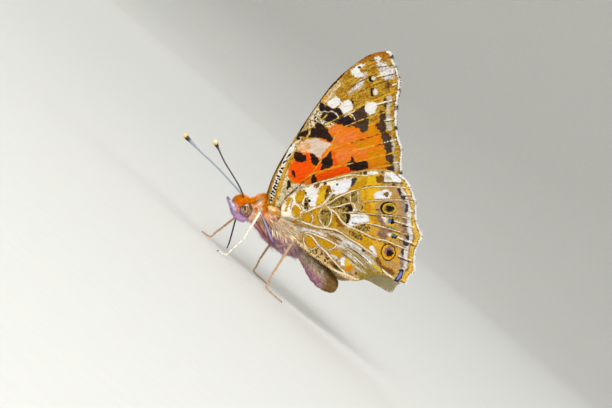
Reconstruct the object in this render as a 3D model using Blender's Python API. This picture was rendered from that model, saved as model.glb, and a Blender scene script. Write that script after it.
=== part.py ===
"""A painted lady butterfly, life size, standing with its wings closed over its back.

Lengths are in millimetres until a mesh is finished. X runs to the tail, -Y to the butterfly's
left and Z up. The floor is Z = 0, and the origin lies under the middle of the whole animal.
"""

import math

import bmesh
import bpy
import numpy as np
from mathutils import Vector
from mathutils.geometry import delaunay_2d_cdt, intersect_point_line

MM = 0.001
GAP = 0.3  # kept between two pieces that meet

# Wings: both outlines are points from the wing's hinge, as (back, up).
FORE_HINGE = (-4.45, 10.3)
HIND_HINGE = (-2.05, 10.3)
WING_THICKNESS = 0.5
WING_LAYER = 1.1  # from the middle of a forewing to the middle of the hindwing outside it
HINGE_SPREAD = 1.9  # half the distance between the two forewings at their hinges
TIP_SPREAD = 0.7  # and at their tips
RIGHT_FOREWING_LAG = 1.4  # degrees that the right forewing stands further back
RIGHT_HINDWING_DROP = 6.5  # degrees that the right hindwing hangs lower than the left one
VEIN_HEIGHT = 0.14
VEIN_HALF_WIDTH = 0.26
VEIN_FADE = 0.8  # distance from the edge over which a vein sinks into the wing
MARGIN_HOLLOW = 0.15  # how far the edge draws in between two vein tips
EDGE_STEP = 0.8  # between points along a wing's edge
VEIN_STEP = 1.5  # along a vein
SKIN_STEP = 2.2  # between the points that let the membrane curve
SKIN_TO_EDGE = 0.7  # the least distance of such a point from the edge
SKIN_TO_VEIN = 0.9  # and from a vein

# Body: stations are (x, height of the middle, half width, half height).
THORAX = [
    (-7.2, 10.1, 0.0, 0.0),
    (-6.8, 10.05, 0.95, 1.0),
    (-6.0, 9.8, 1.55, 1.8),
    (-4.9, 9.55, 2.05, 2.35),
    (-3.4, 9.3, 2.45, 2.75),
    (-1.3, 8.95, 2.65, 3.0),
    (0.9, 8.65, 2.55, 2.8),
    (2.6, 8.45, 2.15, 2.3),
    (3.8, 8.3, 1.5, 1.6),
    (4.4, 8.25, 0.0, 0.0),
]
THORAX_PINCH = 0.4  # how much narrower the back is than the breast
ABDOMEN = [
    (2.9, 8.45, 0.0, 0.0),
    (3.3, 8.4, 1.0, 1.0),
    (4.8, 8.3, 1.3, 1.3),
    (6.6, 7.9, 1.7, 1.65),
    (8.7, 7.3, 1.9, 1.95),
    (10.7, 7.0, 1.9, 1.95),
    (12.3, 6.95, 1.5, 1.65),
    (13.3, 6.85, 0.9, 1.0),
    (13.85, 6.7, 0.0, 0.0),
]
ABDOMEN_GROOVE = 0.04  # how much narrower the abdomen is between two of its rings
HEAD_MIDDLE = (-7.4, 0.0, 7.95)
HEAD_RADII = (1.75, 1.45, 1.55)
EYE_MIDDLE = (-7.15, 1.15, 7.7)
EYE_RADIUS = 1.2
KNEE_ROUND = 1.2  # how far from a knee its bend begins


def clear_scene():
    for obj in list(bpy.data.objects):
        bpy.data.objects.remove(obj, do_unlink=True)


def material(name, colour, roughness):
    mat = bpy.data.materials.new(name)
    mat.use_nodes = True
    shader = mat.node_tree.nodes["Principled BSDF"]
    shader.inputs["Base Color"].default_value = (*colour, 1.0)
    shader.inputs["Roughness"].default_value = roughness
    return mat


def largest_surface(bm):
    """Drops every closed surface but the one with the most faces."""
    left = set(bm.faces)
    shells = []
    while left:
        shell = [left.pop()]
        for face in shell:
            for edge in face.edges:
                for other in edge.link_faces:
                    if other in left:
                        left.remove(other)
                        shell.append(other)
        shells.append(shell)
    shells.sort(key=len, reverse=True)
    loose = [face for shell in shells[1:] for face in shell]
    bmesh.ops.delete(bm, geom=loose, context="FACES")


def piece(name, bm, mat=None):
    """Turns a bmesh in millimetres into an object in metres."""
    bmesh.ops.recalc_face_normals(bm, faces=bm.faces)
    bmesh.ops.scale(bm, vec=(MM, MM, MM), verts=bm.verts)
    mesh = bpy.data.meshes.new(name)
    bm.to_mesh(mesh)
    bm.free()
    mesh.shade_smooth()
    mesh.set_sharp_from_angle(angle=math.radians(50))
    if mat:
        mesh.materials.append(mat)
    obj = bpy.data.objects.new(name, mesh)
    bpy.context.scene.collection.objects.link(obj)
    return obj


def inflated(obj):
    """A cutter: a copy of a piece that is larger by the gap all round."""
    cutter = obj.copy()
    cutter.data = obj.data.copy()
    cutter.name = "cutter_" + obj.name
    for vert, normal in zip(cutter.data.vertices, obj.data.vertices):
        vert.co += normal.normal * GAP * MM
    bpy.context.scene.collection.objects.link(cutter)
    cutter.hide_render = True
    cutter.display_type = "WIRE"
    return cutter


def cut_back(obj, cutters):
    """Cuts a piece clear of what it grows from, and applies the cut."""
    for cutter in cutters:
        cut = obj.modifiers.new("meet_" + cutter.name, "BOOLEAN")
        cut.operation = "DIFFERENCE"
        cut.solver = "EXACT"
        cut.object = cutter
    bpy.context.view_layer.update()
    evaluated = obj.evaluated_get(bpy.context.evaluated_depsgraph_get())
    mesh = bpy.data.meshes.new_from_object(evaluated)
    obj.modifiers.clear()
    bm = bmesh.new()
    bm.from_mesh(mesh)
    bmesh.ops.remove_doubles(bm, verts=bm.verts, dist=0.00001)
    bmesh.ops.dissolve_degenerate(bm, edges=bm.edges, dist=0.00001)
    bmesh.ops.triangulate(bm, faces=bm.faces)
    largest_surface(bm)
    bm.to_mesh(mesh)
    bm.free()
    obj.data = mesh


def smooth_line(points, steps, closed=False):
    """A smooth curve through the points, with so many steps between each two."""
    pts = [np.array(p, float) for p in points]
    count = len(pts)
    line = []
    for i in range(count if closed else count - 1):
        before = pts[i - 1] if closed or i else 2 * pts[0] - pts[1]
        start, end = pts[i], pts[(i + 1) % count]
        if closed or i + 2 < count:
            after = pts[(i + 2) % count]
        else:
            after = 2 * pts[-1] - pts[-2]
        for step in range(steps):
            t = step / steps
            bend = 2 * start + (end - before) * t
            bend += (2 * before - 5 * start + 4 * end - after) * t**2
            bend += (3 * start - before - 3 * end + after) * t**3
            line.append(bend / 2)
    if not closed:
        line.append(pts[-1])
    return line


def smoothstep(low, high, value):
    t = min(max((value - low) / (high - low), 0.0), 1.0)
    return t * t * (3 - 2 * t)


def egg(stations, around, steps, pinch=0.0, groove=0.0):
    """A body of egg-shaped cross sections on a smooth line; pinch narrows its back."""
    rows = smooth_line(stations, steps)
    bm = bmesh.new()
    rings = []
    for row, (x, middle, wide, high) in enumerate(rows[1:-1]):
        nip = 1 - groove * (row % 3 == 0)
        ring = []
        for k in range(around):
            angle = 2 * math.pi * (k + 0.5) / around
            narrow = 1 - pinch * max(0.0, math.sin(angle))
            y = wide * nip * math.cos(angle) * narrow
            ring.append(bm.verts.new((x, y, middle + high * nip * math.sin(angle))))
        rings.append(ring)
    for a, b in zip(rings, rings[1:]):
        for k in range(around):
            n = (k + 1) % around
            bm.faces.new((a[k], a[n], b[n], b[k]))
    for ring, row in ((rings[0], rows[0]), (rings[-1], rows[-1])):
        pole = bm.verts.new((row[0], 0.0, row[1]))
        for k in range(around):
            bm.faces.new((pole, ring[k], ring[(k + 1) % around]))
    return bm


def ball(middle, radii, segments, rings):
    bm = bmesh.new()
    bmesh.ops.create_uvsphere(bm, u_segments=segments, v_segments=rings, radius=1.0)
    bmesh.ops.scale(bm, vec=radii, verts=bm.verts)
    bmesh.ops.translate(bm, vec=middle, verts=bm.verts)
    return bm


def rounded_route(joints, corner):
    """Joints as (x, y, z, radius), with a short arc in place of each sharp knee."""
    pts = [np.array(j, float) for j in joints]
    route = [pts[0]]
    for before, knee, after in zip(pts, pts[1:], pts[2:]):
        to_before = before - knee
        to_after = after - knee
        near = min(corner, 0.45 * np.linalg.norm(to_before[:3]))
        far = min(corner, 0.45 * np.linalg.norm(to_after[:3]))
        start = knee + to_before * near / np.linalg.norm(to_before[:3])
        end = knee + to_after * far / np.linalg.norm(to_after[:3])
        for t in (0.0, 0.33, 0.67, 1.0):
            route.append((1 - t) ** 2 * start + 2 * t * (1 - t) * knee + t**2 * end)
    route.append(pts[-1])
    return route


def tube(route, sides):
    """A round limb along a route of (x, y, z, radius), closed by a small dome at each end."""
    places = [Vector(p[:3]) for p in route]
    radii = [p[3] for p in route]
    for end, inner in ((0, 1), (-1, -2)):
        run = (places[end] - places[inner]).normalized()
        dome = places[end] + run * radii[end] * 0.6
        at = 0 if end == 0 else len(places)
        places.insert(at, dome)
        radii.insert(at, radii[end] * 0.6)
    bm = bmesh.new()
    rings = []
    side = None
    for i, place in enumerate(places):
        ahead = places[min(i + 1, len(places) - 1)] - places[max(i - 1, 0)]
        ahead.normalize()
        if side is None:
            side = ahead.cross(Vector((0, 1, 0)))
        side = (side - ahead * side.dot(ahead)).normalized()
        other = ahead.cross(side)
        ring = []
        for k in range(sides):
            angle = 2 * math.pi * (k + 0.5) / sides
            out = side * math.cos(angle) + other * math.sin(angle)
            ring.append(bm.verts.new(place + out * radii[i]))
        rings.append(ring)
    for a, b in zip(rings, rings[1:]):
        for k in range(sides):
            n = (k + 1) % sides
            bm.faces.new((a[k], a[n], b[n], b[k]))
    for i, ring in ((0, rings[0]), (-1, rings[-1])):
        run = (places[i] - places[1 if i == 0 else -2]).normalized()
        pole = bm.verts.new(places[i] + run * radii[i] * 0.4)
        for k in range(sides):
            bm.faces.new((pole, ring[k], ring[(k + 1) % sides]))
    return bm


# A side is -1 on the butterfly's left and +1 on its right; limbs are given with y positive.

ANTENNA_LEFT = [
    (-8.0, 0.5, 8.5),
    (-8.8, 0.75, 9.15),
    (-11.2, 1.9, 10.2),
    (-15.7, 4.2, 11.6),
    (-18.2, 5.6, 12.6),
    (-20.1, 6.85, 13.35),
]
ANTENNA_RIGHT = [
    (-8.0, 0.5, 8.5),
    (-8.8, 0.75, 9.15),
    (-11.5, 2.4, 9.6),
    (-14.5, 3.9, 9.95),
    (-17.5, 5.4, 10.1),
    (-21.0, 6.85, 10.5),
]
ANTENNA_RADIUS = 0.26
CLUB_RADIUS = 0.42
CLUB_START = 0.86  # share of the antenna's length at which it begins to widen
CLUB_FULL = 0.95


def antenna(side, points):
    """A thin whip that widens into a club over its last seventh."""
    line = smooth_line([(x, side * y, z) for x, y, z in points], 5)
    route = []
    for i, place in enumerate(line):
        swell = smoothstep(CLUB_START, CLUB_FULL, i / (len(line) - 1))
        radius = ANTENNA_RADIUS + (CLUB_RADIUS - ANTENNA_RADIUS) * swell
        route.append((*place, radius))
    return tube(route, 8)


PALP = [
    (-6.0, 0.85, 6.75, 0.45),
    (-7.2, 0.95, 6.6, 0.52),
    (-8.5, 0.8, 6.75, 0.5),
    (-9.5, 0.7, 7.0, 0.45),
    (-10.1, 0.55, 7.25, 0.33),
    (-10.4, 0.5, 7.45, 0.2),
]
TONGUE = [
    (-7.5, 0.0, 6.9, 0.26),
    (-7.15, 0.0, 5.5, 0.26),
    (-5.5, 0.0, 2.0, 0.25),
    (-5.15, 0.0, 1.0, 0.2),
]
TONGUE_BEND = 1.0


def palp(side):
    """An upcurved, scaly palp beside the tongue, as long as the head."""
    return tube(smooth_line([(x, side * y, z, r) for x, y, z, r in PALP], 2), 10)


def leg(side, joints):
    """Femur, tibia and tarsus in one limb, whose foot lies flat on the floor."""
    route = rounded_route([(x, side * y, z, r) for x, y, z, r in joints], KNEE_ROUND)
    bm = tube(route, 8)
    for vert in bm.verts:
        vert.co.z = max(vert.co.z, 0.0)
    return bm


FORELEG = [
    (-4.2, 0.9, 8.0, 0.36),
    (-4.9, 1.6, 7.1, 0.35),
    (-3.5, 2.1, 6.7, 0.34),
    (-2.0, 2.15, 6.3, 0.3),
]
MIDLEG_LEFT = [
    (-0.1, 1.2, 7.0, 0.5),
    (-0.8, 2.6, 6.6, 0.46),
    (-6.2, 4.5, 9.15, 0.3),
    (-5.55, 5.0, 3.95, 0.3),
    (-6.3, 5.4, 0.45, 0.27),
    (-7.6, 5.7, 0.22, 0.26),
]
MIDLEG_RIGHT = [
    (-0.1, 1.2, 7.0, 0.5),
    (-0.8, 2.6, 6.6, 0.46),
    (-5.2, 4.6, 9.15, 0.3),
    (-6.4, 5.1, 3.0, 0.3),
    (-6.9, 5.4, 0.45, 0.27),
    (-8.1, 5.7, 0.22, 0.26),
]
HINDLEG = [
    (-0.1, 1.2, 6.9, 0.5),
    (0.5, 2.6, 6.6, 0.46),
    (1.2, 4.7, 8.4, 0.3),
    (1.9, 5.0, 2.5, 0.3),
    (2.6, 5.2, 0.45, 0.27),
    (5.6, 5.6, 0.22, 0.26),
]

FOREWING = {
    "costa": [(-0.3, -0.3), (-1.7, 1.8), (-3.1, 5.4), (-4.1, 10.9), (-4.9, 18.5), (-5.0, 22.6)],
    "shoulder": [(-4.3, 26.3), (-3.4, 29.1), (-2.0, 30.9), (-1.1, 31.6)],
    "tips": [
        (-0.2, 31.1),
        (1.2, 30.5),
        (3.0, 29.4),
        (4.2, 28.0),
        (5.7, 25.6),
        (8.1, 22.9),
        (11.1, 20.9),
        (13.5, 18.0),
    ],
    "inner": [(13.6, 17.1), (10.5, 13.3), (7.8, 8.9), (5.0, 4.6), (3.1, 1.9), (2.4, 0.2)],
    "veins": [
        [(-0.8, 1.0), (-2.2, 4.6), (-3.3, 10.0), (-4.1, 17.0), (-4.4, 21.0)],
        [(0.0, 0.4), (-0.7, 4.9), (-1.9, 11.0), (-2.9, 18.5), (-3.1, 24.0), (-1.6, 30.2)],
        [(0.5, 0.3), (1.1, 6.0), (1.8, 10.7), (1.5, 13.2), (0.3, 16.3), (-1.3, 18.2)],
        [(-1.3, 18.2), (-1.8, 21.0), (-0.9, 23.6), (1.2, 27.5), (2.7, 29.1)],
        [(-2.8, 18.0), (-1.3, 18.2), (0.0, 20.2), (1.6, 23.2), (3.9, 27.5)],
        [(0.5, 15.9), (1.7, 19.1), (3.3, 21.7), (5.3, 25.1)],
        [(1.5, 13.2), (3.0, 15.6), (5.0, 18.3), (7.7, 22.5)],
        [(1.7, 8.6), (4.0, 11.7), (7.0, 15.5), (10.7, 20.4)],
        [(1.1, 0.6), (3.0, 4.4), (5.8, 9.3), (9.6, 13.8), (12.9, 17.2)],
        [(-3.0, 22.5), (-1.8, 26.0), (-0.3, 28.4), (0.9, 30.0)],
    ],
}
HINDWING = {
    "costa": [(0.5, -1.3), (-0.8, 0.5), (-1.7, 2.4), (-0.8, 5.6), (0.9, 8.5), (2.9, 11.3)],
    "shoulder": [(5.0, 13.9), (7.3, 16.1), (9.6, 17.3), (11.7, 17.6)],
    "tips": [
        (13.8, 17.1),
        (16.0, 15.9),
        (18.1, 13.7),
        (20.7, 12.3),
        (21.6, 9.5),
        (23.5, 7.2),
        (23.7, 4.4),
    ],
    "inner": [
        (21.5, 3.7),
        (18.8, 2.7),
        (16.7, 0.1),
        (14.7, -0.9),
        (11.5, -1.3),
        (8.0, -1.5),
        (3.6, -1.6),
    ],
    "veins": [
        [(1.0, 0.5), (0.4, 4.5), (2.6, 9.5), (6.4, 14.0), (10.8, 16.9)],
        [(1.6, 0.3), (3.2, 4.6), (6.2, 10.6), (9.2, 14.3), (13.3, 16.8)],
        [(3.2, 4.6), (6.5, 8.4), (10.4, 12.3), (15.6, 15.4)],
        [(5.0, 6.6), (9.4, 9.0), (13.6, 11.6), (17.6, 13.4)],
        [(5.6, 5.6), (9.4, 6.9), (14.6, 9.5), (20.0, 12.0)],
        [(2.2, 0.6), (5.6, 4.2), (5.8, 6.8)],
        [(5.6, 4.2), (10.0, 5.7), (15.0, 7.5), (21.1, 9.4)],
        [(3.6, 2.0), (9.8, 4.4), (15.5, 5.0), (23.0, 6.9)],
        [(2.6, 0.2), (7.1, 1.5), (13.0, 2.8), (19.0, 3.5)],
    ],
}
LEAN_HEIGHT = 8.0  # over which the wings draw together above their hinges
REAR_CLOSE = 0.8  # how much nearer the hindwings stand to each other at their rear
REAR_START = 10.0
REAR_END = 23.0
HIND_ROOT = (2.4, -1.0)  # middle of the bend that takes the hindwing in to its hinge
ROOT_BEND = (0.8, 3.2)


def forewing_spread(_back, up):
    """Half the distance between the forewings, which lean together above their hinges."""
    return TIP_SPREAD + (HINGE_SPREAD - TIP_SPREAD) * math.exp(-up / LEAN_HEIGHT)


def hindwing_spread(back, up):
    """The hindwing lies outside the forewing, bends in to its hinge and closes to the rear."""
    lain_over = forewing_spread(back, up) + WING_LAYER
    lain_over -= REAR_CLOSE * smoothstep(REAR_START, REAR_END, back)
    from_root = math.hypot(back - HIND_ROOT[0], up - HIND_ROOT[1])
    return HINGE_SPREAD + (lain_over - HINGE_SPREAD) * smoothstep(*ROOT_BEND, from_root)


def resampled(line, step, closed=False):
    """The same curve with even steps of about the given length."""
    pts = np.array(line)
    if closed:
        pts = np.vstack([pts, pts[:1]])
    run = np.concatenate([[0.0], np.cumsum(np.linalg.norm(np.diff(pts, axis=0), axis=1))])
    count = max(2, round(run[-1] / step))
    at = np.linspace(0.0, run[-1], count + 1)
    even = np.column_stack([np.interp(at, run, pts[:, k]) for k in range(pts.shape[1])])
    return even[:-1] if closed else even


def wing_outline(wing):
    """The smooth edge: costa, shoulder, the vein tips with a hollow between, and inner edge."""
    points = wing["costa"] + wing["shoulder"]
    tips = wing["tips"]
    for tip, following in zip(tips, tips[1:]):
        edge = np.subtract(following, tip)
        inward = np.array((edge[1], -edge[0])) / np.linalg.norm(edge)
        middle = np.add(tip, following) / 2 + inward * MARGIN_HOLLOW
        points = points + [tip, tuple(middle)]
    points = points + [tips[-1]] + wing["inner"]
    return resampled(smooth_line(points, 6, closed=True), EDGE_STEP, closed=True)


def vein_lines(wing):
    """Each vein as its crest and its two feet, which meet at the vein's tip."""
    lines = []
    for vein in wing["veins"]:
        crest = resampled(smooth_line(vein, 6), VEIN_STEP)
        run = np.gradient(crest, axis=0)
        across = np.column_stack([-run[:, 1], run[:, 0]])
        across /= np.linalg.norm(across, axis=1)[:, None]
        across *= VEIN_HALF_WIDTH
        lines.append((crest, crest[:-1] + across[:-1], crest[:-1] - across[:-1]))
    return lines


def inside(point, outline):
    """Whether a point of the wing's plane is inside its edge."""
    x, y = point
    hit = False
    for a, b in zip(outline, np.roll(outline, -1, axis=0)):
        if (a[1] > y) != (b[1] > y) and x < (b[0] - a[0]) * (y - a[1]) / (b[1] - a[1]) + a[0]:
            hit = not hit
    return hit


def distance_to(point, line):
    """How far a point lies from a line of points."""
    best = 1e9
    for a, b in zip(line, line[1:]):
        foot, along = intersect_point_line(point, a, b)
        foot = a if along < 0 else b if along > 1 else foot
        best = min(best, math.hypot(point[0] - foot[0], point[1] - foot[1]))
    return best


def wing_triangles(wing):
    """Flat points, vein heights and triangles of one wing, with its veins as edges."""
    outline = wing_outline(wing)
    veins = vein_lines(wing)
    points = [tuple(p) for p in outline]
    edges = [(i, (i + 1) % len(outline)) for i in range(len(outline))]
    ring = [tuple(p) for p in np.vstack([outline, outline[:1]])]
    crests = [[tuple(p) for p in crest] for crest, _, _ in veins]
    for crest, left, right in veins:
        tip = None
        for line in (crest, left, right):
            first = len(points)
            points += [tuple(p) for p in line]
            edges += [(i, i + 1) for i in range(first, len(points) - 1)]
            if tip is None:
                tip = len(points) - 1
            else:
                edges.append((len(points) - 1, tip))
    low, high = outline.min(axis=0), outline.max(axis=0)
    for u in np.arange(low[0], high[0], SKIN_STEP):
        for v in np.arange(low[1], high[1], SKIN_STEP):
            spot = (u, v)
            if not inside(spot, outline) or distance_to(spot, ring) < SKIN_TO_EDGE:
                continue
            if min(distance_to(spot, crest) for crest in crests) > SKIN_TO_VEIN:
                points.append(spot)
    flat = [Vector(p) for p in points]
    face = [list(range(len(outline)))]
    found = delaunay_2d_cdt(flat, edges, face, 1, 1e-5)
    spots, triangles = found[0], found[2]
    heights = []
    for spot in spots:
        off = min(distance_to(spot, crest) for crest in crests)
        edge_fade = smoothstep(0.0, VEIN_FADE, distance_to(spot, ring))
        heights.append(VEIN_HEIGHT * edge_fade * max(0.0, 1 - off / VEIN_HALF_WIDTH))
    return spots, heights, triangles


def wing(shape, hinge, spread, side, turn):
    """A membrane with the same triangles on both faces, its veins raised on each."""
    spots, heights, triangles = wing_triangles(shape)
    turn = math.radians(turn)
    bm = bmesh.new()
    faces = []
    for out in (1, -1):
        verts = []
        for spot, height in zip(spots, heights):
            back = spot[0] * math.cos(turn) + spot[1] * math.sin(turn)
            up = spot[1] * math.cos(turn) - spot[0] * math.sin(turn)
            middle = spread(back, up)
            y = side * (middle + out * (WING_THICKNESS / 2 + height))
            verts.append(bm.verts.new((hinge[0] + back, y, hinge[1] + up)))
        faces.append(verts)
    uses = {}
    for tri in triangles:
        for verts in faces:
            bm.faces.new([verts[i] for i in tri])
        for a, b in zip(tri, tri[1:] + tri[:1]):
            key = (min(a, b), max(a, b))
            uses[key] = uses.get(key, 0) + 1
    for (a, b), count in uses.items():
        if count == 1:
            bm.faces.new((faces[0][a], faces[0][b], faces[1][b]))
            bm.faces.new((faces[0][a], faces[1][b], faces[1][a]))
    return bm


def build():
    clear_scene()
    fur = material("thorax_fur", (0.42, 0.30, 0.20), 0.85)
    belly = material("abdomen_scales", (0.52, 0.44, 0.36), 0.8)
    face_fur = material("head_fur", (0.62, 0.36, 0.16), 0.85)
    eye_mat = material("eye", (0.16, 0.12, 0.06), 0.25)
    palp_mat = material("palp_scales", (0.80, 0.76, 0.78), 0.7)
    horn = material("antenna", (0.30, 0.20, 0.13), 0.5)
    tongue = material("proboscis", (0.10, 0.06, 0.05), 0.4)
    leg_mat = material("leg_scales", (0.72, 0.62, 0.52), 0.7)
    fore_mat = material("forewing_scales", (0.80, 0.36, 0.08), 0.75)
    hind_mat = material("hindwing_scales", (0.60, 0.48, 0.30), 0.75)

    thorax = piece("thorax", egg(THORAX, 24, 2, THORAX_PINCH), fur)
    around_thorax = inflated(thorax)
    head = piece("head", ball(HEAD_MIDDLE, HEAD_RADII, 24, 14), face_fur)
    around_head = inflated(head)
    cut_back(head, [around_thorax])
    abdomen = piece("abdomen", egg(ABDOMEN, 20, 3, 0.0, ABDOMEN_GROOVE), belly)
    cut_back(abdomen, [around_thorax])
    proboscis = piece("proboscis", tube(rounded_route(TONGUE, TONGUE_BEND), 8), tongue)
    cut_back(proboscis, [around_head])

    for side, name in ((-1, "left"), (1, "right")):
        right = side > 0
        x, y, z = EYE_MIDDLE
        eye = piece("eye_" + name, ball((x, side * y, z), [EYE_RADIUS] * 3, 20, 12), eye_mat)
        around_eye = inflated(eye)
        cut_back(eye, [around_head, around_thorax])
        feeler = antenna(side, ANTENNA_RIGHT if right else ANTENNA_LEFT)
        cut_back(piece("antenna_" + name, feeler, horn), [around_head, around_eye])
        palp_roots = [around_head, around_eye, around_thorax]
        cut_back(piece("palp_" + name, palp(side), palp_mat), palp_roots)
        cut_back(piece("foreleg_" + name, leg(side, FORELEG), leg_mat), [around_thorax])
        middle = MIDLEG_RIGHT if right else MIDLEG_LEFT
        cut_back(piece("midleg_" + name, leg(side, middle), leg_mat), [around_thorax])
        cut_back(piece("hindleg_" + name, leg(side, HINDLEG), leg_mat), [around_thorax])
        lag = RIGHT_FOREWING_LAG if right else 0.0
        drop = RIGHT_HINDWING_DROP if right else 0.0
        fore = wing(FOREWING, FORE_HINGE, forewing_spread, side, lag)
        cut_back(piece("forewing_" + name, fore, fore_mat), [around_thorax])
        hind = wing(HINDWING, HIND_HINGE, hindwing_spread, side, drop)
        cut_back(piece("hindwing_" + name, hind, hind_mat), [around_thorax])


build()
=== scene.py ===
import math

import bmesh
import bpy
import numpy as np
from mathutils import Matrix, Vector


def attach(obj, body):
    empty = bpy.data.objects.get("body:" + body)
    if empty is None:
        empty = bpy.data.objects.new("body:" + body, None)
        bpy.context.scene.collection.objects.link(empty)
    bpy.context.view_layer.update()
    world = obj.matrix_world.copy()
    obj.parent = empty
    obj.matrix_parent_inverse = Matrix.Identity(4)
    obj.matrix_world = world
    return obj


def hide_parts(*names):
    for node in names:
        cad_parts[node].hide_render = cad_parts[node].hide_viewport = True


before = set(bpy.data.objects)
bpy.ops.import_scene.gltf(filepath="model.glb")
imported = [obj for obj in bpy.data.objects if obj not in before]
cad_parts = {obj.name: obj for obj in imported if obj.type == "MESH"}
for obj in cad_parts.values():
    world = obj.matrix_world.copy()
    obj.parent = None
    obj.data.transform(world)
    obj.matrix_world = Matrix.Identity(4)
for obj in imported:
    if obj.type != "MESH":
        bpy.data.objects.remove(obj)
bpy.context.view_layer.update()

# The view: a long lens from the butterfly's left and a little ahead of it, rolled so that the
# butterfly seems to climb. Lengths here are in millimetres until a mesh is finished.
MM = 0.001
PHOTO_WIDTH = 612
PHOTO_MIDDLE = np.array((306.0, 204.0))
AIM = np.array((-0.45, -2.2, 14.6))  # the place that the photo's middle pixel shows
DISTANCE = 400.0
YAW = math.radians(18)
RISE = math.radians(2)
ROLL = math.radians(40)
FOCAL = 2500.0  # in pixels
SENSOR = 36.0
PIXEL = DISTANCE / FOCAL  # millimetres that one pixel covers

level = np.array((math.cos(YAW), -math.sin(YAW), 0.0))
to_eye = np.array((-math.sin(YAW) * math.cos(RISE), -math.cos(YAW) * math.cos(RISE), math.sin(RISE)))
above = np.cross(to_eye, level)
photo_right = level * math.cos(ROLL) + above * math.sin(ROLL)
photo_up = above * math.cos(ROLL) - level * math.sin(ROLL)
eye_place = AIM + to_eye * DISTANCE

view = bpy.data.cameras.new("photo_view")
view.sensor_width = SENSOR
view.lens = FOCAL * SENSOR / PHOTO_WIDTH
view.clip_start = 0.01
camera = bpy.data.objects.new("photo_view", view)
bpy.context.scene.collection.objects.link(camera)
turned = Matrix([[*row] for row in np.column_stack([photo_right, photo_up, to_eye])])
camera.matrix_world = Matrix.Translation(Vector(eye_place * MM)) @ turned.to_4x4()
bpy.context.scene.camera = camera

# The body: head, thorax and abdomen are one skin of fine scales over a hard shell, narrow at
# the neck and at the waist. It lies under its fur by the fur's depth.
BODY = [  # stations of (x, underside, back, half width)
    (-9.05, 7.95, 7.95, 0.0),
    (-8.9, 7.3, 8.6, 0.7),
    (-8.4, 6.8, 9.0, 1.08),
    (-7.5, 6.6, 9.3, 1.22),
    (-6.9, 6.7, 9.8, 1.15),
    (-6.3, 6.95, 10.8, 1.25),
    (-5.6, 7.2, 11.3, 1.5),
    (-4.9, 7.3, 11.6, 1.78),
    (-3.4, 6.85, 11.75, 2.15),
    (-1.3, 6.25, 11.65, 2.35),
    (0.9, 6.15, 11.15, 2.25),
    (2.4, 6.4, 10.55, 1.9),
    (3.5, 6.85, 9.75, 1.3),
    (4.4, 7.0, 9.4, 1.12),
    (5.6, 6.8, 9.4, 1.25),
    (6.6, 6.45, 9.3, 1.45),
    (8.7, 5.6, 9.0, 1.65),
    (10.7, 5.3, 8.7, 1.65),
    (12.3, 5.55, 8.35, 1.28),
    (13.2, 6.0, 7.7, 0.8),
    (13.6, 6.7, 6.7, 0.0),
]
BACK_PINCH = 0.4  # how much narrower the thorax is along its back, between the wings
PINCH_ENDS = (-6.6, -4.6, 2.2, 4.2)  # where that starts, is full, begins to fade and ends
RING_LENGTH = 1.35  # of the abdomen's rings
RING_DEPTH = 0.05
ABDOMEN_START = 4.4
BUMP = 0.02  # how far scales, hair and horn stand out of the surface


def smooth_line(points, steps, closed=False):
    """Points on a smooth curve through the given ones, with so many steps between each two."""
    pts = np.array(points, float)
    if closed:
        pts = np.vstack([pts[-1:], pts, pts[:2]])
    else:
        pts = np.vstack([2 * pts[0] - pts[1], pts, 2 * pts[-1] - pts[-2]])
    a, b, c, d = (part[:, None, :] for part in (pts[:-3], pts[1:-2], pts[2:-1], pts[3:]))
    t = (np.arange(steps) / steps)[None, :, None]
    curve = 2 * b + (c - a) * t + (2 * a - 5 * b + 4 * c - d) * t**2
    curve = (curve + (3 * b - a - 3 * c + d) * t**3) / 2
    curve = curve.reshape(-1, pts.shape[1])
    return curve if closed else np.vstack([curve, pts[-2]])


def ease(low, high, value):
    t = np.clip((value - low) / (high - low), 0.0, 1.0)
    return t * t * (3 - 2 * t)


body_line = smooth_line(BODY, 10)


def on_body(x, angle):
    """The body's surface at x, where the angle turns up from the butterfly's right."""
    low, high, wide = (np.interp(x, body_line[:, 0], body_line[:, k]) for k in (1, 2, 3))
    start, full, fading, end = PINCH_ENDS
    pinch = BACK_PINCH * ease(start, full, x) * (1 - ease(fading, end, x))
    groove = np.cos((x - ABDOMEN_START) / RING_LENGTH * math.pi) ** 8
    slim = 1 - RING_DEPTH * groove * ease(ABDOMEN_START, ABDOMEN_START + 1, x)
    y = wide * slim * np.cos(angle) * (1 - pinch * np.maximum(0.0, np.sin(angle)))
    z = (low + high) / 2 + (high - low) / 2 * slim * np.sin(angle)
    return np.column_stack([x, y, z])


def shade(red, green, blue):
    """A colour in a screen's 0 to 255, as the linear light that a material takes."""
    parts = [c / 255 for c in (red, green, blue)]
    return (*[c / 12.92 if c <= 0.04045 else ((c + 0.055) / 1.055) ** 2.4 for c in parts], 1.0)


# Body colours, from the photo.
ORANGE_FUR = shade(238, 142, 2)
RUST_FUR = shade(196, 96, 4)
CREAM_FUR = shade(255, 238, 206)
TAN_FUR = shade(248, 204, 166)
GREY_FUR = shade(250, 224, 196)
MAUVE_BOUNCE_FUR = shade(186, 112, 152)
BREAST_BOUNCE_MAUVE = shade(190, 156, 168)
LILAC_FUR = shade(206, 156, 208)
OLIVE_FUR = shade(150, 116, 62)
PALE_BELLY = shade(186, 170, 142)
BLUE_GREY = shade(138, 140, 154)
TAIL_RUST = shade(122, 84, 8)
FUR_SHADOW = shade(84, 52, 38)


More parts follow.
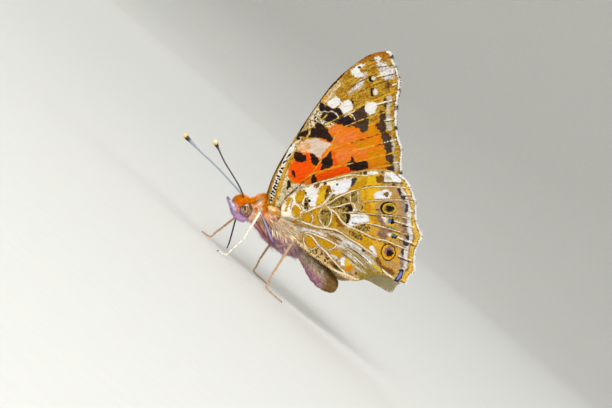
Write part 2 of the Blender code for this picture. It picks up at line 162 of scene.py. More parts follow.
def toned(spots, grain):
    """The coat's colour at places on the body; grain from 0 to 1 varies it tuft by tuft."""
    x, y, z = spots.T
    side = np.abs(y)

    def lay(over, amount):
        nonlocal colour
        colour = colour + (np.array(over) - colour) * amount[:, None]

    colour = np.tile(np.array(TAN_FUR), (len(spots), 1))
    lay(GREY_FUR, ease(0.15, 0.6, grain) * ease(-4.0, -2.5, x) * ease(7.0, 8.2, z))
    lay(CREAM_FUR, 0.8 * ease(0.55, 0.8, grain) * ease(-4.5, -2.5, x))
    # Mauve under the thorax and breast is painted violet light bounced up onto the underside, and painted
    # shade.
    under = ease(8.5, 7.1, z - 0.25 * (x + 2)) * (1 - ease(3.0, 5.0, x)) * (0.6 + 0.4 * grain)
    lay(MAUVE_BOUNCE_FUR, under)
    lay(BREAST_BOUNCE_MAUVE, under * ease(-1.6, 0.4, x))
    lay(OLIVE_FUR, ease(10.4, 11.2, z) * ease(-4.4, -3.0, x) * (0.5 + 0.5 * grain))
    # Painted shade: a dark streak of shadow runs down the flank behind the ruff, along a furrow in the fur.
    across, along = 0.5 * (x + 4.1) + 0.87 * (z - 8.7), 0.87 * (x + 4.1) - 0.5 * (z - 8.7)
    lay(FUR_SHADOW, 0.9 * np.exp(-((across / 0.24) ** 2)) * ease(-0.6, 0.0, along) * ease(3.0, 1.8, along))
    # The head and the ruff are orange, with a pale lock above the eye and lilac under the chin.
    orange = ease(-5.6, -6.2, x + 0.75 * (10.2 - z)) * ease(7.9, 8.7, z + 1.6 * ease(-7.8, -8.6, x))
    orange = np.maximum(orange, ease(-4.4, -5.2, x) * ease(8.6, 9.2, z))
    lay(ORANGE_FUR, orange)
    lay(RUST_FUR, 0.7 * ease(0.6, 0.85, grain) * orange)
    across, along = 0.62 * (x + 6.35) + 0.78 * (z - 9.75), 0.78 * (x + 6.35) - 0.62 * (z - 9.75)
    pale_lock = np.exp(-((across / 0.28) ** 2) - (along / 1.0) ** 2)
    lay(CREAM_FUR, np.clip(1.9 * pale_lock, 0, 1) * ease(0.4, 0.9, side))
    lay(LILAC_FUR, (1 - ease(7.0, 7.8, z)) * (1 - ease(-6.2, -5.2, x)) * 0.9)
    # The abdomen is pale, mauve below with painted violet bounce light and shade, and rusty along its back
    # and at its end.
    tail = ease(ABDOMEN_START - 1, ABDOMEN_START + 1, x)
    lay(PALE_BELLY, tail * (0.55 + 0.3 * grain))
    lay(MAUVE_BOUNCE_FUR, tail * ease(7.7, 6.3, z + 0.05 * (x - 5)) * ease(11.8, 9.8, x) * 0.85)
    lay(BLUE_GREY, tail * ease(0.6, 0.72, grain) * 0.7)
    lay(OLIVE_FUR, tail * ease(0.4, 0.28, grain) * 0.5)
    lay(TAIL_RUST, tail * ease(8.0, 8.7, z + 0.1 * (x - 8)) * 0.9)
    lay(TAIL_RUST, ease(9.6, 11.2, x + 0.5 * (z - 7)) * (0.75 + 0.25 * grain))
    return colour


def add_piece(name, mesh, mats, slot, *nodes):
    """Adds a mesh as a piece of the model, which stands for the named nodes."""
    for mat in mats:
        mesh.materials.append(mat)
    obj = bpy.data.objects.new(name, mesh)
    bpy.context.scene.collection.objects.link(obj)
    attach(obj, "root")
    if nodes:
        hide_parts(*nodes)


def mesh_of(bm, name):
    mesh = bpy.data.meshes.new(name)
    bm.to_mesh(mesh)
    bm.free()
    return mesh


def drawn_ball(sides, rings):
    """A unit ball, with each point's share of the way from pole to pole and its angle."""
    bm = bmesh.new()
    bmesh.ops.create_uvsphere(bm, u_segments=sides, v_segments=rings, radius=1.0)
    mesh = mesh_of(bm, "ball")
    spots = read_spots(mesh)
    share = np.arccos(np.clip(spots[:, 2], -1, 1)) / math.pi
    return mesh, share, np.arctan2(spots[:, 1], spots[:, 0])


def read_spots(mesh):
    spots = np.empty(len(mesh.vertices) * 3)
    mesh.vertices.foreach_get("co", spots)
    return spots.reshape(-1, 3)


def set_spots(mesh, spots):
    """Puts a mesh's points in place, given in millimetres, with its faces outwards."""
    mesh.vertices.foreach_set("co", (spots * MM).ravel())
    bm = bmesh.new()
    bm.from_mesh(mesh)
    bmesh.ops.recalc_face_normals(bm, faces=bm.faces)
    bm.to_mesh(mesh)
    bm.free()
    mesh.shade_smooth()


def colour_points(mesh, colours):
    """Stores one colour for each point of a mesh."""
    layer = mesh.color_attributes.new(name="tone", type="FLOAT_COLOR", domain="POINT")
    layer.data.foreach_set("color", np.asarray(colours, float).ravel())


class Wire:
    """A socket of a material's nodes, on which sums are written as plain Python."""

    def __init__(self, tree, socket=None):
        self.tree = tree
        self.socket = socket

    def node(self, kind, settings=None, sockets=None, output=0):
        made = self.tree.nodes.new("ShaderNode" + kind)
        for name, value in (settings or {}).items():
            setattr(made, name, value)
        for name, value in (sockets or {}).items():
            if isinstance(value, Wire):
                self.tree.links.new(value.socket, made.inputs[name])
            else:
                made.inputs[name].default_value = value
        return Wire(self.tree, made.outputs[output] if made.outputs else None)

    def sum(self, operation, first, second):
        return self.node("Math", {"operation": operation}, {0: first, 1: second})

    def __add__(self, other):
        return self.sum("ADD", self, other)

    def __sub__(self, other):
        return self.sum("SUBTRACT", self, other)

    def __rsub__(self, other):
        return self.sum("SUBTRACT", other, self)

    def __mul__(self, other):
        return self.sum("MULTIPLY", self, other)

    __radd__ = __add__
    __rmul__ = __mul__

    def rise(self, low, high):
        """0 below low and 1 above high, with a smooth step between."""
        return self.node("MapRange", {"interpolation_type": "SMOOTHSTEP"}, {0: self, 1: low, 2: high})

    def blend(self, under, over):
        """A colour between two, by this amount."""
        return self.node("Mix", {"data_type": "RGBA"}, {0: self, 6: under, 7: over}, 2)

    def dim(self, colour, amount=1.0):
        """A colour multiplied by this value."""
        return self.node(
            "Mix", {"data_type": "RGBA", "blend_type": "MULTIPLY"}, {0: amount, 6: colour, 7: self}, 2
        )

    def noise(self, place, size, detail=2.0):
        return self.node("TexNoise", {}, {"Vector": place, "Scale": 1 / (size * MM), "Detail": detail})

    def place(self):
        return self.node("TexCoord", {}, {}, 3)

    def stored(self, name):
        """A number that the mesh holds at each point."""
        return self.node("Attribute", {"attribute_name": name}, {}, 2)


def finish(name, lay_out):
    """A material; lay_out(wire) gives the shader's sockets."""
    mat = bpy.data.materials.new(name)
    mat.use_nodes = True
    mat.node_tree.nodes.clear()
    wire = Wire(mat.node_tree)
    shader = wire.node("BsdfPrincipled", {}, lay_out(wire))
    wire.node("OutputMaterial", {}, {"Surface": shader})
    return mat


def coat_finish(size, roughness, mottle=0.5, bump=0.4, gloss=0.06):
    """Hair, scales or horn: the stored tone, mottled, over a fine bump."""

    def lay_out(wire):
        tone = wire.node("Attribute", {"attribute_name": "tone"})
        fine = wire.noise(wire.place(), size)
        height = wire.node("Bump", {}, {"Height": fine, "Strength": bump, "Distance": BUMP * MM})
        return {
            "Base Color": (1 - mottle / 2 + mottle * fine).dim(tone),
            "Roughness": roughness,
            "Specular IOR Level": gloss,
            "Normal": height,
        }

    return lay_out


skin_mesh, share, angle = drawn_ball(sides=96, rings=240)
skin_x = BODY[0][0] + (BODY[-1][0] - BODY[0][0]) * (1 - np.cos(math.pi * share)) / 2
skin_spots = on_body(skin_x, angle)
rng = np.random.default_rng(11)
set_spots(skin_mesh, skin_spots)
colour_points(skin_mesh, toned(skin_spots, np.full(len(skin_spots), 0.4)))
skin_finish = finish("skin_scales", coat_finish(size=0.12, roughness=0.7))
add_piece("body_skin", skin_mesh, [skin_finish], "thorax_fur", "thorax", "head", "abdomen")

# The fur: long silky hairs sweep back and down over the thorax, an orange ruff stands round
# the neck, short orange hairs cover the head, and flat scales overlap down the abdomen.
TUFT_TAPER = ((0.0, 1.0), (0.45, 0.85), (0.8, 0.45), (1.0, 0.0))  # width along a tuft
PATCH = 0.0015  # half the size of a tuft's patch on the baked map
LOCK_SIZE = 0.32  # hairs this near to each other lean alike
LOCK_LEAN = 0.16
LOCK_SHARE = 0.65  # of a tuft's tone that it has from its lock
LENGTHS = (0.65, 1.2)  # how far tufts vary about their coat's measures
WIDTHS = (0.7, 1.2)
LIFTS = (0.4, 1.3)
STRAY = 0.07
EYE_CLEAR = 0.93
BODY_MIDDLE = np.array((0.0, 0.0, 9.0))
BODY_ROUND = 2.2  # the body's mean radius
EYE_MIDDLE = np.array((-7.2, 0.98, 7.78))
EYE_RADII = np.array((1.12, 0.62, 1.2))


def blade():
    """One tuft of unit length along Z: a thin three-sided spike, as points and triangles."""
    bm = bmesh.new()
    bmesh.ops.create_cone(bm, cap_ends=True, segments=3, radius1=1.0, radius2=0.0, depth=1.0)
    bmesh.ops.translate(bm, vec=(0, 0, 0.5), verts=bm.verts)
    for height, _ in TUFT_TAPER[1:-1]:
        plane = bm.verts[:] + bm.edges[:] + bm.faces[:]
        bmesh.ops.bisect_plane(bm, geom=plane, plane_co=(0, 0, height), plane_no=(0, 0, 1))
    bmesh.ops.remove_doubles(bm, verts=bm.verts, dist=0.001)
    bmesh.ops.triangulate(bm, faces=bm.faces)
    bmesh.ops.recalc_face_normals(bm, faces=bm.faces)
    for vert in bm.verts:
        height, width = vert.co.z, math.hypot(vert.co.x, vert.co.y)
        if width > 0.001:
            fuller = np.interp(height, *zip(*TUFT_TAPER)) / width
            vert.co.x *= fuller
            vert.co.y *= fuller
    points = np.array([v.co for v in bm.verts])
    faces = np.array([[v.index for v in f.verts] for f in bm.faces])
    bm.free()
    return points, faces


blade_points, blade_faces = blade()


def unit(rows):
    return rows / np.maximum(np.linalg.norm(rows, axis=1), 1e-9)[:, None]


def tufts(name, roots, lie, out, length, width, colours, where, mat, slot, thin=0.35, droop=0.35):
    """Many tufts as one piece: each leaves its root along lie, bends towards -out and tapers.

    Its patch on the baked map lies at where.
    """
    count, points = len(roots), len(blade_points)
    width = np.broadcast_to(width, count)[:, None]
    lie = unit(lie)
    across = unit(np.cross(lie, out))
    out = np.cross(across, lie)
    x, y, z = blade_points.T
    along = length[:, None] * z
    fall = -droop * length[:, None] * z**2
    spots = roots[:, None, :] + lie[:, None, :] * along[:, :, None]
    spots += across[:, None, :] * (width * x)[:, :, None]
    spots += out[:, None, :] * (width * y * thin + fall)[:, :, None]
    faces = (blade_faces[None] + np.arange(count)[:, None, None] * points).reshape(-1, 3)
    mesh = bpy.data.meshes.new(name)
    mesh.vertices.add(count * points)
    mesh.vertices.foreach_set("co", (spots * MM).ravel())
    mesh.loops.add(faces.size)
    mesh.loops.foreach_set("vertex_index", faces.ravel())
    mesh.polygons.add(len(faces))
    mesh.polygons.foreach_set("loop_start", np.arange(0, faces.size, 3))
    mesh.update(calc_edges=True)
    mesh.validate()
    colour_points(mesh, np.repeat(colours, points, axis=0))
    spread = np.column_stack([x, z * 2 - 1]) * PATCH
    flat = (where[:, None, :] + spread[None]).reshape(-1, 2)
    layer = mesh.uv_layers.new(name="OFBake")
    layer.data.foreach_set("uv", flat[faces.ravel()].ravel())
    mesh.shade_smooth()
    add_piece(name, mesh, [mat], slot)


def eye_radii_off(spots):
    """How far places are from the eye's middle, seen from the side, in the eye's own radii."""
    return np.hypot(*((spots - EYE_MIDDLE) / EYE_RADII)[:, [0, 2]].T)


def body_tufts(name, count, x_range, angles, sweep, length, width, lift, mat, slot, seed, droop=0.35):
    """Tufts over a stretch of the body, clear of the eyes; sweep is their lie as (back, down)."""
    draw = np.random.default_rng(seed)
    x = draw.uniform(*x_range, count)
    angle = draw.uniform(*angles, count)
    angle = np.where(draw.random(count) < 0.5, math.pi - angle, angle)
    spots = on_body(x, angle)
    ahead = on_body(x + 0.05, angle) - spots
    around = on_body(x, angle + 0.02) - spots
    out = unit(np.cross(around, ahead))
    out *= np.sign(np.sum(out * (spots - BODY_MIDDLE), axis=1))[:, None]
    lock_cells = np.floor(np.column_stack([x, angle * BODY_ROUND]) / LOCK_SIZE)
    lock = np.unique(lock_cells, axis=0, return_inverse=True)[1].ravel()
    lock_grain = draw.random(lock.max() + 1)[lock]
    lock_lean = draw.normal(0, LOCK_LEAN, (lock.max() + 1, 3))[lock]
    back, down = sweep(x, angle)
    fall = np.where(np.cos(angle) > 0, -1.0, 1.0)[:, None] * unit(around)
    raised = (lift * draw.uniform(*LIFTS, count))[:, None]
    lie = unit(ahead) * back[:, None] + fall * down[:, None] + out * raised
    lie += draw.normal(0, STRAY, (count, 3)) + lock_lean
    grain = LOCK_SHARE * lock_grain + (1 - LOCK_SHARE) * draw.random(count)
    long = length * draw.uniform(*LENGTHS, count)
    wide = width * draw.uniform(*WIDTHS, count)
    share = (x - BODY[0][0]) / (BODY[-1][0] - BODY[0][0])
    where = 0.01 + 0.98 * np.column_stack([(angle / (2 * math.pi)) % 1.0, share])
    colours = toned(spots, grain)
    colours[:, :3] *= (draw.uniform(0.8, 1.4, count) * (0.7 + 0.72 * lock_grain))[:, None]
    tips = spots + unit(lie) * long[:, None]
    kept = (eye_radii_off(tips) > EYE_CLEAR) & (eye_radii_off(spots) > 0.9)
    kept |= np.abs(spots[:, 1]) < 0.3
    rows = (part[kept] for part in (spots, lie, out, long, wide, colours, where))
    tufts(name, *rows, mat, slot, droop=droop)


def thorax_sweep(x, angle):
    """Back and a little up towards the wings, and back and down lower on the flanks."""
    low = ease(0.5, -0.3, np.sin(angle))
    flank = np.cos(angle) ** 2
    return 0.85 + 0 * x, (0.6 * low - 0.18) * flank * ease(-6, -3.5, x)


def collar_sweep(x, angle):
    """Down round the neck on its sides, and back along its top."""
    beside = ease(0.3, 0.9, np.abs(np.cos(angle)))
    return 0.85 - 0.25 * beside, 0.85 * beside


fur_finish = finish("silky_fur", coat_finish(size=0.2, roughness=0.75))
# Each coat's tufts, its stretch of the body and its angles, and its sweep.
body_tufts(
    "thorax_fur", 8000, (-4.6, 3.6), (-1.5, 1.57), thorax_sweep, length=1.8, width=0.075, lift=0.28,
    mat=fur_finish, slot="thorax_fur", seed=21, droop=0.15,
)
body_tufts(
    "collar_fur", 5600, (-6.9, -4.3), (-0.9, 1.57), collar_sweep, length=1.15, width=0.075, lift=0.55,
    mat=fur_finish, slot="thorax_fur", seed=22,
)
body_tufts(
    "head_fur", 4200, (-9.0, -6.3), (-0.1, 1.57), lambda x, a: (0.2 + 0.5 * ease(-8.6, -7.6, x), 0 * x),
    length=0.6, width=0.07, lift=0.7, mat=fur_finish, slot="head_fur", seed=23, droop=0.15,
)
body_tufts(
    "face_fur", 2600, (-9.04, -8.2), (-1.0, 1.57), lambda x, a: (-1 + 0 * x, 0.1 + 0 * x),
    length=0.95, width=0.07, lift=0.25, mat=fur_finish, slot="head_fur", seed=26, droop=0.1,
)
body_tufts(
    "chin_fur", 2600, (-8.6, -5.0), (-1.57, -0.3), lambda x, a: (0.5 + 0 * x, 0.5 + 0 * x),
    length=1.1, width=0.06, lift=0.8, mat=fur_finish, slot="head_fur", seed=24, droop=0.1,
)
belly_finish = finish("belly_scales", coat_finish(size=0.15, roughness=0.7))
body_tufts(
    "abdomen_scales", 7500, (3.4, 13.5), (-1.57, 1.57), lambda x, a: (1 + 0 * x, 0.1 + 0 * x),
    length=0.42, width=0.085, lift=0.13, mat=belly_finish, slot="abdomen_scales", seed=25, droop=0.1,
)

# The eyes: large brown compound eyes of many lenses under a clear cornea, one on each side of
# the head. A crescent of white scales stands behind each.
SIDES = ((-1, "left"), (1, "right"))
RIM_TUFTS = 170
RIM_WIDTH = 0.05
CORNEA_BROWN = shade(122, 80, 58)
CORNEA_DARK = shade(58, 38, 20)
CORNEA_OLIVE = shade(190, 142, 88)
CORNEA_LILAC = shade(150, 108, 132)
RIM_WHITE = shade(238, 232, 232)
STREAK_TILT = math.radians(40)  # by which the eye's streaks lean back as they go down
PUPIL = (-0.33, 0.06)  # of the dark spot in the eye: how far back and up it lies
PUPIL_SIZE = (0.14, 0.34)
PUPIL_BLACK = shade(16, 10, 8)
LENS = 0.06  # from one lens of the eye to the next


def eye_finish(wire):
    """Brown, lilac below, mottled in slanting streaks round one dark spot."""
    place = wire.place()
    turned = wire.node("Mapping", {}, {"Vector": place, "Rotation": (0, STREAK_TILT, 0)})
    upright = wire.node("Mapping", {}, {"Vector": turned, "Scale": (1.0, 1.0, 0.28)})
    streaks = wire.noise(upright, 0.22, 2.0)
    colour = streaks.rise(0.45, 0.58).blend(CORNEA_BROWN, CORNEA_OLIVE)
    colour = wire.stored("lower").rise(0.1, 0.9).blend(colour, CORNEA_LILAC)
    colour = streaks.rise(0.42, 0.32).blend(colour, CORNEA_DARK)
    colour = wire.stored("pupil").rise(0.2, -0.2).blend(colour, PUPIL_BLACK)
    colour = wire.stored("brim").rise(0.7, 1.05).blend(colour, CORNEA_DARK)
    lenses = wire.node("TexVoronoi", {}, {"Vector": place, "Scale": 1 / (LENS * MM)})
    facets = wire.node("Bump", {}, {"Height": lenses, "Strength": 0.25, "Distance": 0.01 * MM})
    gloss = {"Roughness": 0.25, "Coat Weight": 0.7, "Coat Roughness": 0.08}
    return {"Base Color": colour, "Normal": facets, **gloss}


def stored_numbers(mesh, name, values):
    layer = mesh.attributes.new(name, "FLOAT", "POINT")
    layer.data.foreach_set("value", np.asarray(values, float))


cornea = finish("cornea", eye_finish)
rim_finish = finish("rim_scales", coat_finish(size=0.1, roughness=0.7))
for side, name in SIDES:
    mesh, share, angle = drawn_ball(sides=96, rings=64)
    ball = read_spots(mesh)
    middle = EYE_MIDDLE * (1, side, 1)
    set_spots(mesh, middle + ball * EYE_RADII)
    behind, over = ball[:, 0] - PUPIL[0], ball[:, 2] - PUPIL[1]
    across = behind * math.cos(STREAK_TILT) + over * math.sin(STREAK_TILT)
    down = behind * math.sin(STREAK_TILT) - over * math.cos(STREAK_TILT)
    off = np.hypot(across / PUPIL_SIZE[0], down / PUPIL_SIZE[1])
    stored_numbers(mesh, "lower", -0.5 * ball[:, 0] - 0.8 * ball[:, 2])
    stored_numbers(mesh, "pupil", np.where(ball[:, 1] * side > 0, off - 1, 5.0))
    stored_numbers(mesh, "brim", np.hypot(ball[:, 0], ball[:, 2]))
    add_piece("eye_globe_" + name, mesh, [cornea], "eye", "eye_" + name)
    turn = rng.uniform(-0.1, 1.35, RIM_TUFTS)
    rim = np.column_stack([np.cos(turn), np.full(RIM_TUFTS, 0.9 * side), np.sin(turn)])
    lie = np.column_stack([-0.9 * np.sin(turn), np.full(RIM_TUFTS, side * 0.3), 0.9 * np.cos(turn)])
    where = np.column_stack([turn * 0.05 + 0.5, np.full(RIM_TUFTS, 0.5 + 0.2 * side)])
    grain = rng.uniform(0.75, 1.0, RIM_TUFTS)[:, None]
    whites = np.column_stack([np.array(RIM_WHITE)[None, :3] * grain, np.ones(RIM_TUFTS)])
    roots = middle + rim * EYE_RADII * rng.uniform(0.96, 1.1, (RIM_TUFTS, 1))
    tufts(
        "eye_rim_" + name, roots, lie, (0, side, 0), rng.uniform(0.2, 0.34, RIM_TUFTS), RIM_WIDTH,
        whites, where, rim_finish, "head_fur",
    )

# The palps: two upcurved feelers beside the tongue that meet in a point before the face. They
# are clothed in lilac scales, with a painted white and blue-white highlight along their upper outer side.
PALP = [
    (-6.0, 0.85, 6.6, 0.3),
    (-7.2, 0.95, 6.2, 0.42),
    (-8.5, 0.8, 6.6, 0.36),
    (-9.4, 0.7, 6.98, 0.28),
    (-10.0, 0.55, 7.25, 0.17),
    (-10.5, 0.5, 7.55, 0.08),
]
PALP_SCALES = (2400, 0.42, 0.034)  # how many, how long and how wide
LIMB_LENGTHS = (0.7, 1.2)  # how far those of a limb vary about that length
PALP_LILAC = shade(230, 188, 230)
PALP_HIGHLIGHT_WHITE = shade(246, 246, 252)
PALP_HIGHLIGHT_BLUE = shade(176, 194, 236)
PALP_TIP = shade(158, 152, 160)


def drawn_out(route, sides, rings):
    """A ball drawn out along a route of (x, y, z, radius): a limb with round ends.

    Returns the mesh, each point's share of the way along, and the way it faces.
    """
    mesh, share, angle = drawn_ball(sides, rings)
    line = smooth_line(route, 8)
    run = np.concatenate([[0.0], np.cumsum(np.linalg.norm(np.diff(line[:, :3], axis=0), axis=1))])
    at = share * run[-1]
    ahead = unit(np.gradient(line[:, :3], axis=0))
    across = np.cross(ahead[0], (0.3, 1.0, 0.2))
    sideways = []
    for way in ahead:
        across = across - way * (across @ way)
        across /= np.linalg.norm(across)
        sideways.append(across)
    sideways = np.array(sideways)

    def at_share(rows):
        return np.column_stack([np.interp(at, run, rows[:, k]) for k in range(rows.shape[1])])

    middle = at_share(line)
    one = unit(at_share(sideways))
    other = unit(np.cross(at_share(ahead), one))
    radius = middle[:, 3]
    to_end = np.minimum(np.minimum(at, run[-1] - at) / radius, 1.0)
    radius = radius * np.sqrt(np.clip(1 - (1 - to_end) ** 2, 0.0, 1.0))
    facing = one * np.cos(angle)[:, None] + other * np.sin(angle)[:, None]
    set_spots(mesh, middle[:, :3] + facing * radius[:, None])
    return mesh, share, facing


def mixed(base, *overs):
    """Colours for many points: a base, and over it others, each with its amount per point."""
    amounts = [amount for _, amount in overs]
    colour = np.tile(np.array(base), (len(amounts[0]), 1))
    for over, amount in overs:
        colour = colour + (np.array(over) - colour) * np.clip(amount, 0, 1)[:, None]
    return colour


def mirrored(route, side):
    return [(row[0], side * row[1], *row[2:]) for row in route]


def limb_tufts(name, mesh, facing, along, count, length, width, pick, where, mat, slot, seed, lean=0.35):
    """Scales on a limb, lying towards its tip and leaning out, in the limb's own colours."""
    draw = np.random.default_rng(seed)
    chosen = draw.choice(np.flatnonzero(pick), count)
    roots = read_spots(mesh)[chosen] / MM
    lean = np.broadcast_to(lean, len(facing))[chosen, None]
    lie = along + lean * facing[chosen] + draw.normal(0, 0.12, (count, 3))
    tone = np.empty(len(mesh.vertices) * 4)
    mesh.color_attributes["tone"].data.foreach_get("color", tone)
    colours = tone.reshape(-1, 4)[chosen].copy()
    colours[:, :3] *= draw.uniform(0.6, 1.3, (count, 1))
    patch = where + draw.uniform(-0.06, 0.06, (count, 2))
    long = length * draw.uniform(*LIMB_LENGTHS, count)
    tufts(name, roots, lie, facing[chosen], long, width, colours, patch, mat, slot)


scale_finish = finish("limb_scales", coat_finish(size=0.1, roughness=0.65))
for side, name in SIDES:
    mesh, share, facing = drawn_out(mirrored(PALP, side), sides=24, rings=48)
    # Painted highlight: blue-white, then white, where the palp faces up and out towards its tip.
    front = facing @ np.array((-0.25, 0.6 * side, 0.76))
    tipward = ease(0.3, 0.6, share)
    colours = mixed(
        PALP_LILAC,
        (PALP_HIGHLIGHT_BLUE, ease(0.0, 0.3, front) * tipward),
        (PALP_HIGHLIGHT_WHITE, ease(0.35, 0.65, front) * tipward),
        (PALP_TIP, ease(0.82, 0.92, share)),
    )
    colour_points(mesh, colours)
    add_piece("palp_core_" + name, mesh, [scale_finish], "palp_scales", "palp_" + name)
    limb_tufts(
        "palp_scales_" + name, mesh, facing, (-0.95, 0.0, 0.2), *PALP_SCALES,
        (share > 0.03) & (share < 0.9), (0.3 + 0.2 * side, 0.3), scale_finish, "palp_scales", seed=31 + side,
        lean=0.25 + 3.0 * ease(0.6, 0.2, share),
    )

# The antennae: stiff horn whips of some thirty rings, brown outside and clad in pale blue-grey
# scales on the side that faces the other one. Each ends in a club with a pale yellow tip.
ANTENNA_LEFT = [
    (-8.0, 0.5, 8.5, 0.17),
    (-8.8, 0.75, 9.15, 0.15),
    (-11.2, 1.9, 10.2, 0.13),
    (-15.7, 4.2, 11.6, 0.13),
    (-18.2, 5.6, 12.6, 0.15),
    (-19.0, 6.1, 12.9, 0.28),
    (-19.7, 6.55, 13.2, 0.39),
    (-20.15, 6.85, 13.4, 0.3),
]
ANTENNA_RIGHT = [
    (-8.0, 0.5, 8.5, 0.17),
    (-8.8, 0.75, 9.15, 0.16),
    (-11.5, 2.4, 9.6, 0.15),
    (-14.5, 3.9, 9.95, 0.15),
    (-17.5, 5.4, 10.1, 0.16),
    (-19.4, 6.2, 10.3, 0.28),
    (-20.4, 6.6, 10.4, 0.38),
    (-21.0, 6.85, 10.5, 0.3),
]
ANTENNA_RINGS = 34
RING_GROOVE = 0.015
HORN_BROWN = shade(84, 52, 34)
HORN_BLACK = shade(26, 20, 22)
HORN_PALE = shade(150, 168, 184)
CLUB_YELLOW = shade(244, 196, 96)
CLUB_TIP = shade(250, 236, 196)
horn = finish("horn", coat_finish(size=0.15, roughness=0.42, mottle=0.6, bump=0.3, gloss=0.5))
for (side, name), route in zip(SIDES, (ANTENNA_LEFT, ANTENNA_RIGHT)):
    mesh, share, facing = drawn_out(mirrored(route, side), sides=16, rings=300)
    spots = read_spots(mesh) / MM
    ring = np.cos(share * ANTENNA_RINGS * 2 * math.pi)
    inner = ease(-0.2, 0.45, -side * facing[:, 1] + 0.3 * facing[:, 2])
    club = ease(0.88, 0.93, share)
    colours = mixed(
        HORN_BROWN,
        (HORN_PALE, 0.9 * inner * (1 - club)),
        (HORN_PALE, 0.55 * ease(0.55, 0.9, ring) * (1 - club)),
        (HORN_BLACK, 0.5 * ease(-0.6, -0.95, ring) * (1 - inner) + club),
        (CLUB_YELLOW, ease(0.945, 0.965, share)),
        (CLUB_TIP, ease(0.97, 0.99, share) * 0.8),
    )
    colour_points(mesh, colours)
    set_spots(mesh, spots - facing * (RING_GROOVE * ease(0.3, -1.0, ring) * (1 - club))[:, None])
    add_piece("antenna_whip_" + name, mesh, [horn], "antenna", "antenna_" + name)

# The tongue: two dark half tubes zipped together, let down from between the palps to drink.
TONGUE = [
    (-7.5, 0.0, 6.9, 0.16),
    (-7.15, 0.0, 5.5, 0.14),
    (-6.3, 0.0, 3.7, 0.13),
    (-5.5, 0.0, 2.0, 0.12),
    (-5.15, 0.0, 0.9, 0.08),
]
TONGUE_DARK = shade(46, 30, 26)
SEAM_DEPTH = 0.03
WRINKLES = 45
WRINKLE_DEPTH = 0.006
mesh, share, facing = drawn_out(TONGUE, sides=20, rings=160)
spots = read_spots(mesh) / MM
seam = 1 - ease(0.0, 0.35, np.abs(facing[:, 1]))
wrinkle = np.cos(share * WRINKLES * 2 * math.pi)
set_spots(mesh, spots - facing * (SEAM_DEPTH * seam + WRINKLE_DEPTH * wrinkle)[:, None])
colour_points(mesh, mixed(TONGUE_DARK, (HORN_BLACK, 0.6 * seam), (HORN_BROWN, 0.4 * ease(0.4, 1.0, wrinkle))))
add_piece("tongue", mesh, [horn], "proboscis", "proboscis")

# The legs: a lilac furry thigh, a slim white spined shin and a foot of five joints with two
# claws. The forelegs are short brushes folded along the breast.
FORELEG = [
    (-4.2, 0.9, 8.0, 0.26),
    (-4.95, 1.65, 7.1, 0.3),
    (-3.6, 2.15, 6.75, 0.27),
    (-2.2, 2.2, 6.35, 0.16),
]
# A walking leg's hip, middle of the thigh, knee, ankle, heel and toe.
MIDLEG_HIP = [(-0.3, 1.2, 7.0), (-0.8, 2.6, 6.6)]
MIDLEG_LEFT = MIDLEG_HIP + [(-6.2, 4.5, 9.15), (-5.55, 5.0, 3.95), (-6.3, 5.4, 0.4), (-7.7, 5.7, 0.17)]
MIDLEG_RIGHT = MIDLEG_HIP + [(-5.2, 4.6, 9.15), (-6.4, 5.1, 3.0), (-6.9, 5.4, 0.4), (-8.2, 5.7, 0.17)]
HINDLEG_HIP = [(-0.1, 1.2, 6.9), (0.5, 2.6, 6.6)]
HINDLEG = HINDLEG_HIP + [(1.2, 4.65, 8.35), (1.9, 5.0, 2.5), (2.6, 5.2, 0.4), (5.7, 5.6, 0.17)]
THIGH_RADII = (0.36, 0.28, 0.18)
SHIN_RADII = (0.21, 0.2, 0.17)
FOOT_RADII = (0.15, 0.13, 0.12)
FOOT_JOINTS = 5
JOINT_SWELL = 0.022
THIGH_HAIRS = (420, 0.3, 0.022)
BRUSH_HAIRS = (1100, 0.35, 0.022)
SPINES = 46
SPINE_WIDTH = 0.018
THIGH_LILAC = shade(206, 184, 226)
THIGH_TAN = shade(196, 160, 150)
SHIN_WHITE = shade(248, 244, 232)
SHIN_TAN = shade(190, 148, 108)
BRUSH_ROSE = shade(206, 120, 148)
BRUSH_TAN = shade(206, 142, 124)
CLAW_DARK = shade(50, 34, 28)
CLAW_TIP = 0.02  # how far above the floor the claws' points are
CLAW_BEND = (0.16, 0.1)  # ahead of the toe and beside it
CLAW_END = (0.27, 0.13)
CLAW_RADII = (0.06, 0.045, 0.012)


def leg_pieces(route, side):
    """The leg's thigh, shin and foot as three routes of (x, y, z, radius)."""
    hip, thigh, knee, ankle, heel, toe = (np.array((x, side * y, z)) for x, y, z in route)
    top = [(*p, r) for p, r in zip((hip, thigh, knee), THIGH_RADII)]
    top.insert(2, (*(thigh * 0.55 + knee * 0.45), 0.25))
    shin = [(*p, r) for p, r in zip((knee, knee * 0.5 + ankle * 0.5, ankle), SHIN_RADII)]
    foot = [(*p, r) for p, r in zip((ankle, heel, toe), FOOT_RADII)]
    foot.insert(1, (*(ankle * 0.4 + heel * 0.6), 0.14))
    return top, shin, foot


def along_limb(route):
    return unit(np.diff(np.array([row[:3] for row in route]), axis=0)).mean(axis=0)


def joined(name, meshes):
    """Several meshes as one, each still a closed shell."""
    bm = bmesh.new()
    for mesh in meshes:
        bm.from_mesh(mesh)
        bpy.data.meshes.remove(mesh)
    return mesh_of(bm, name)


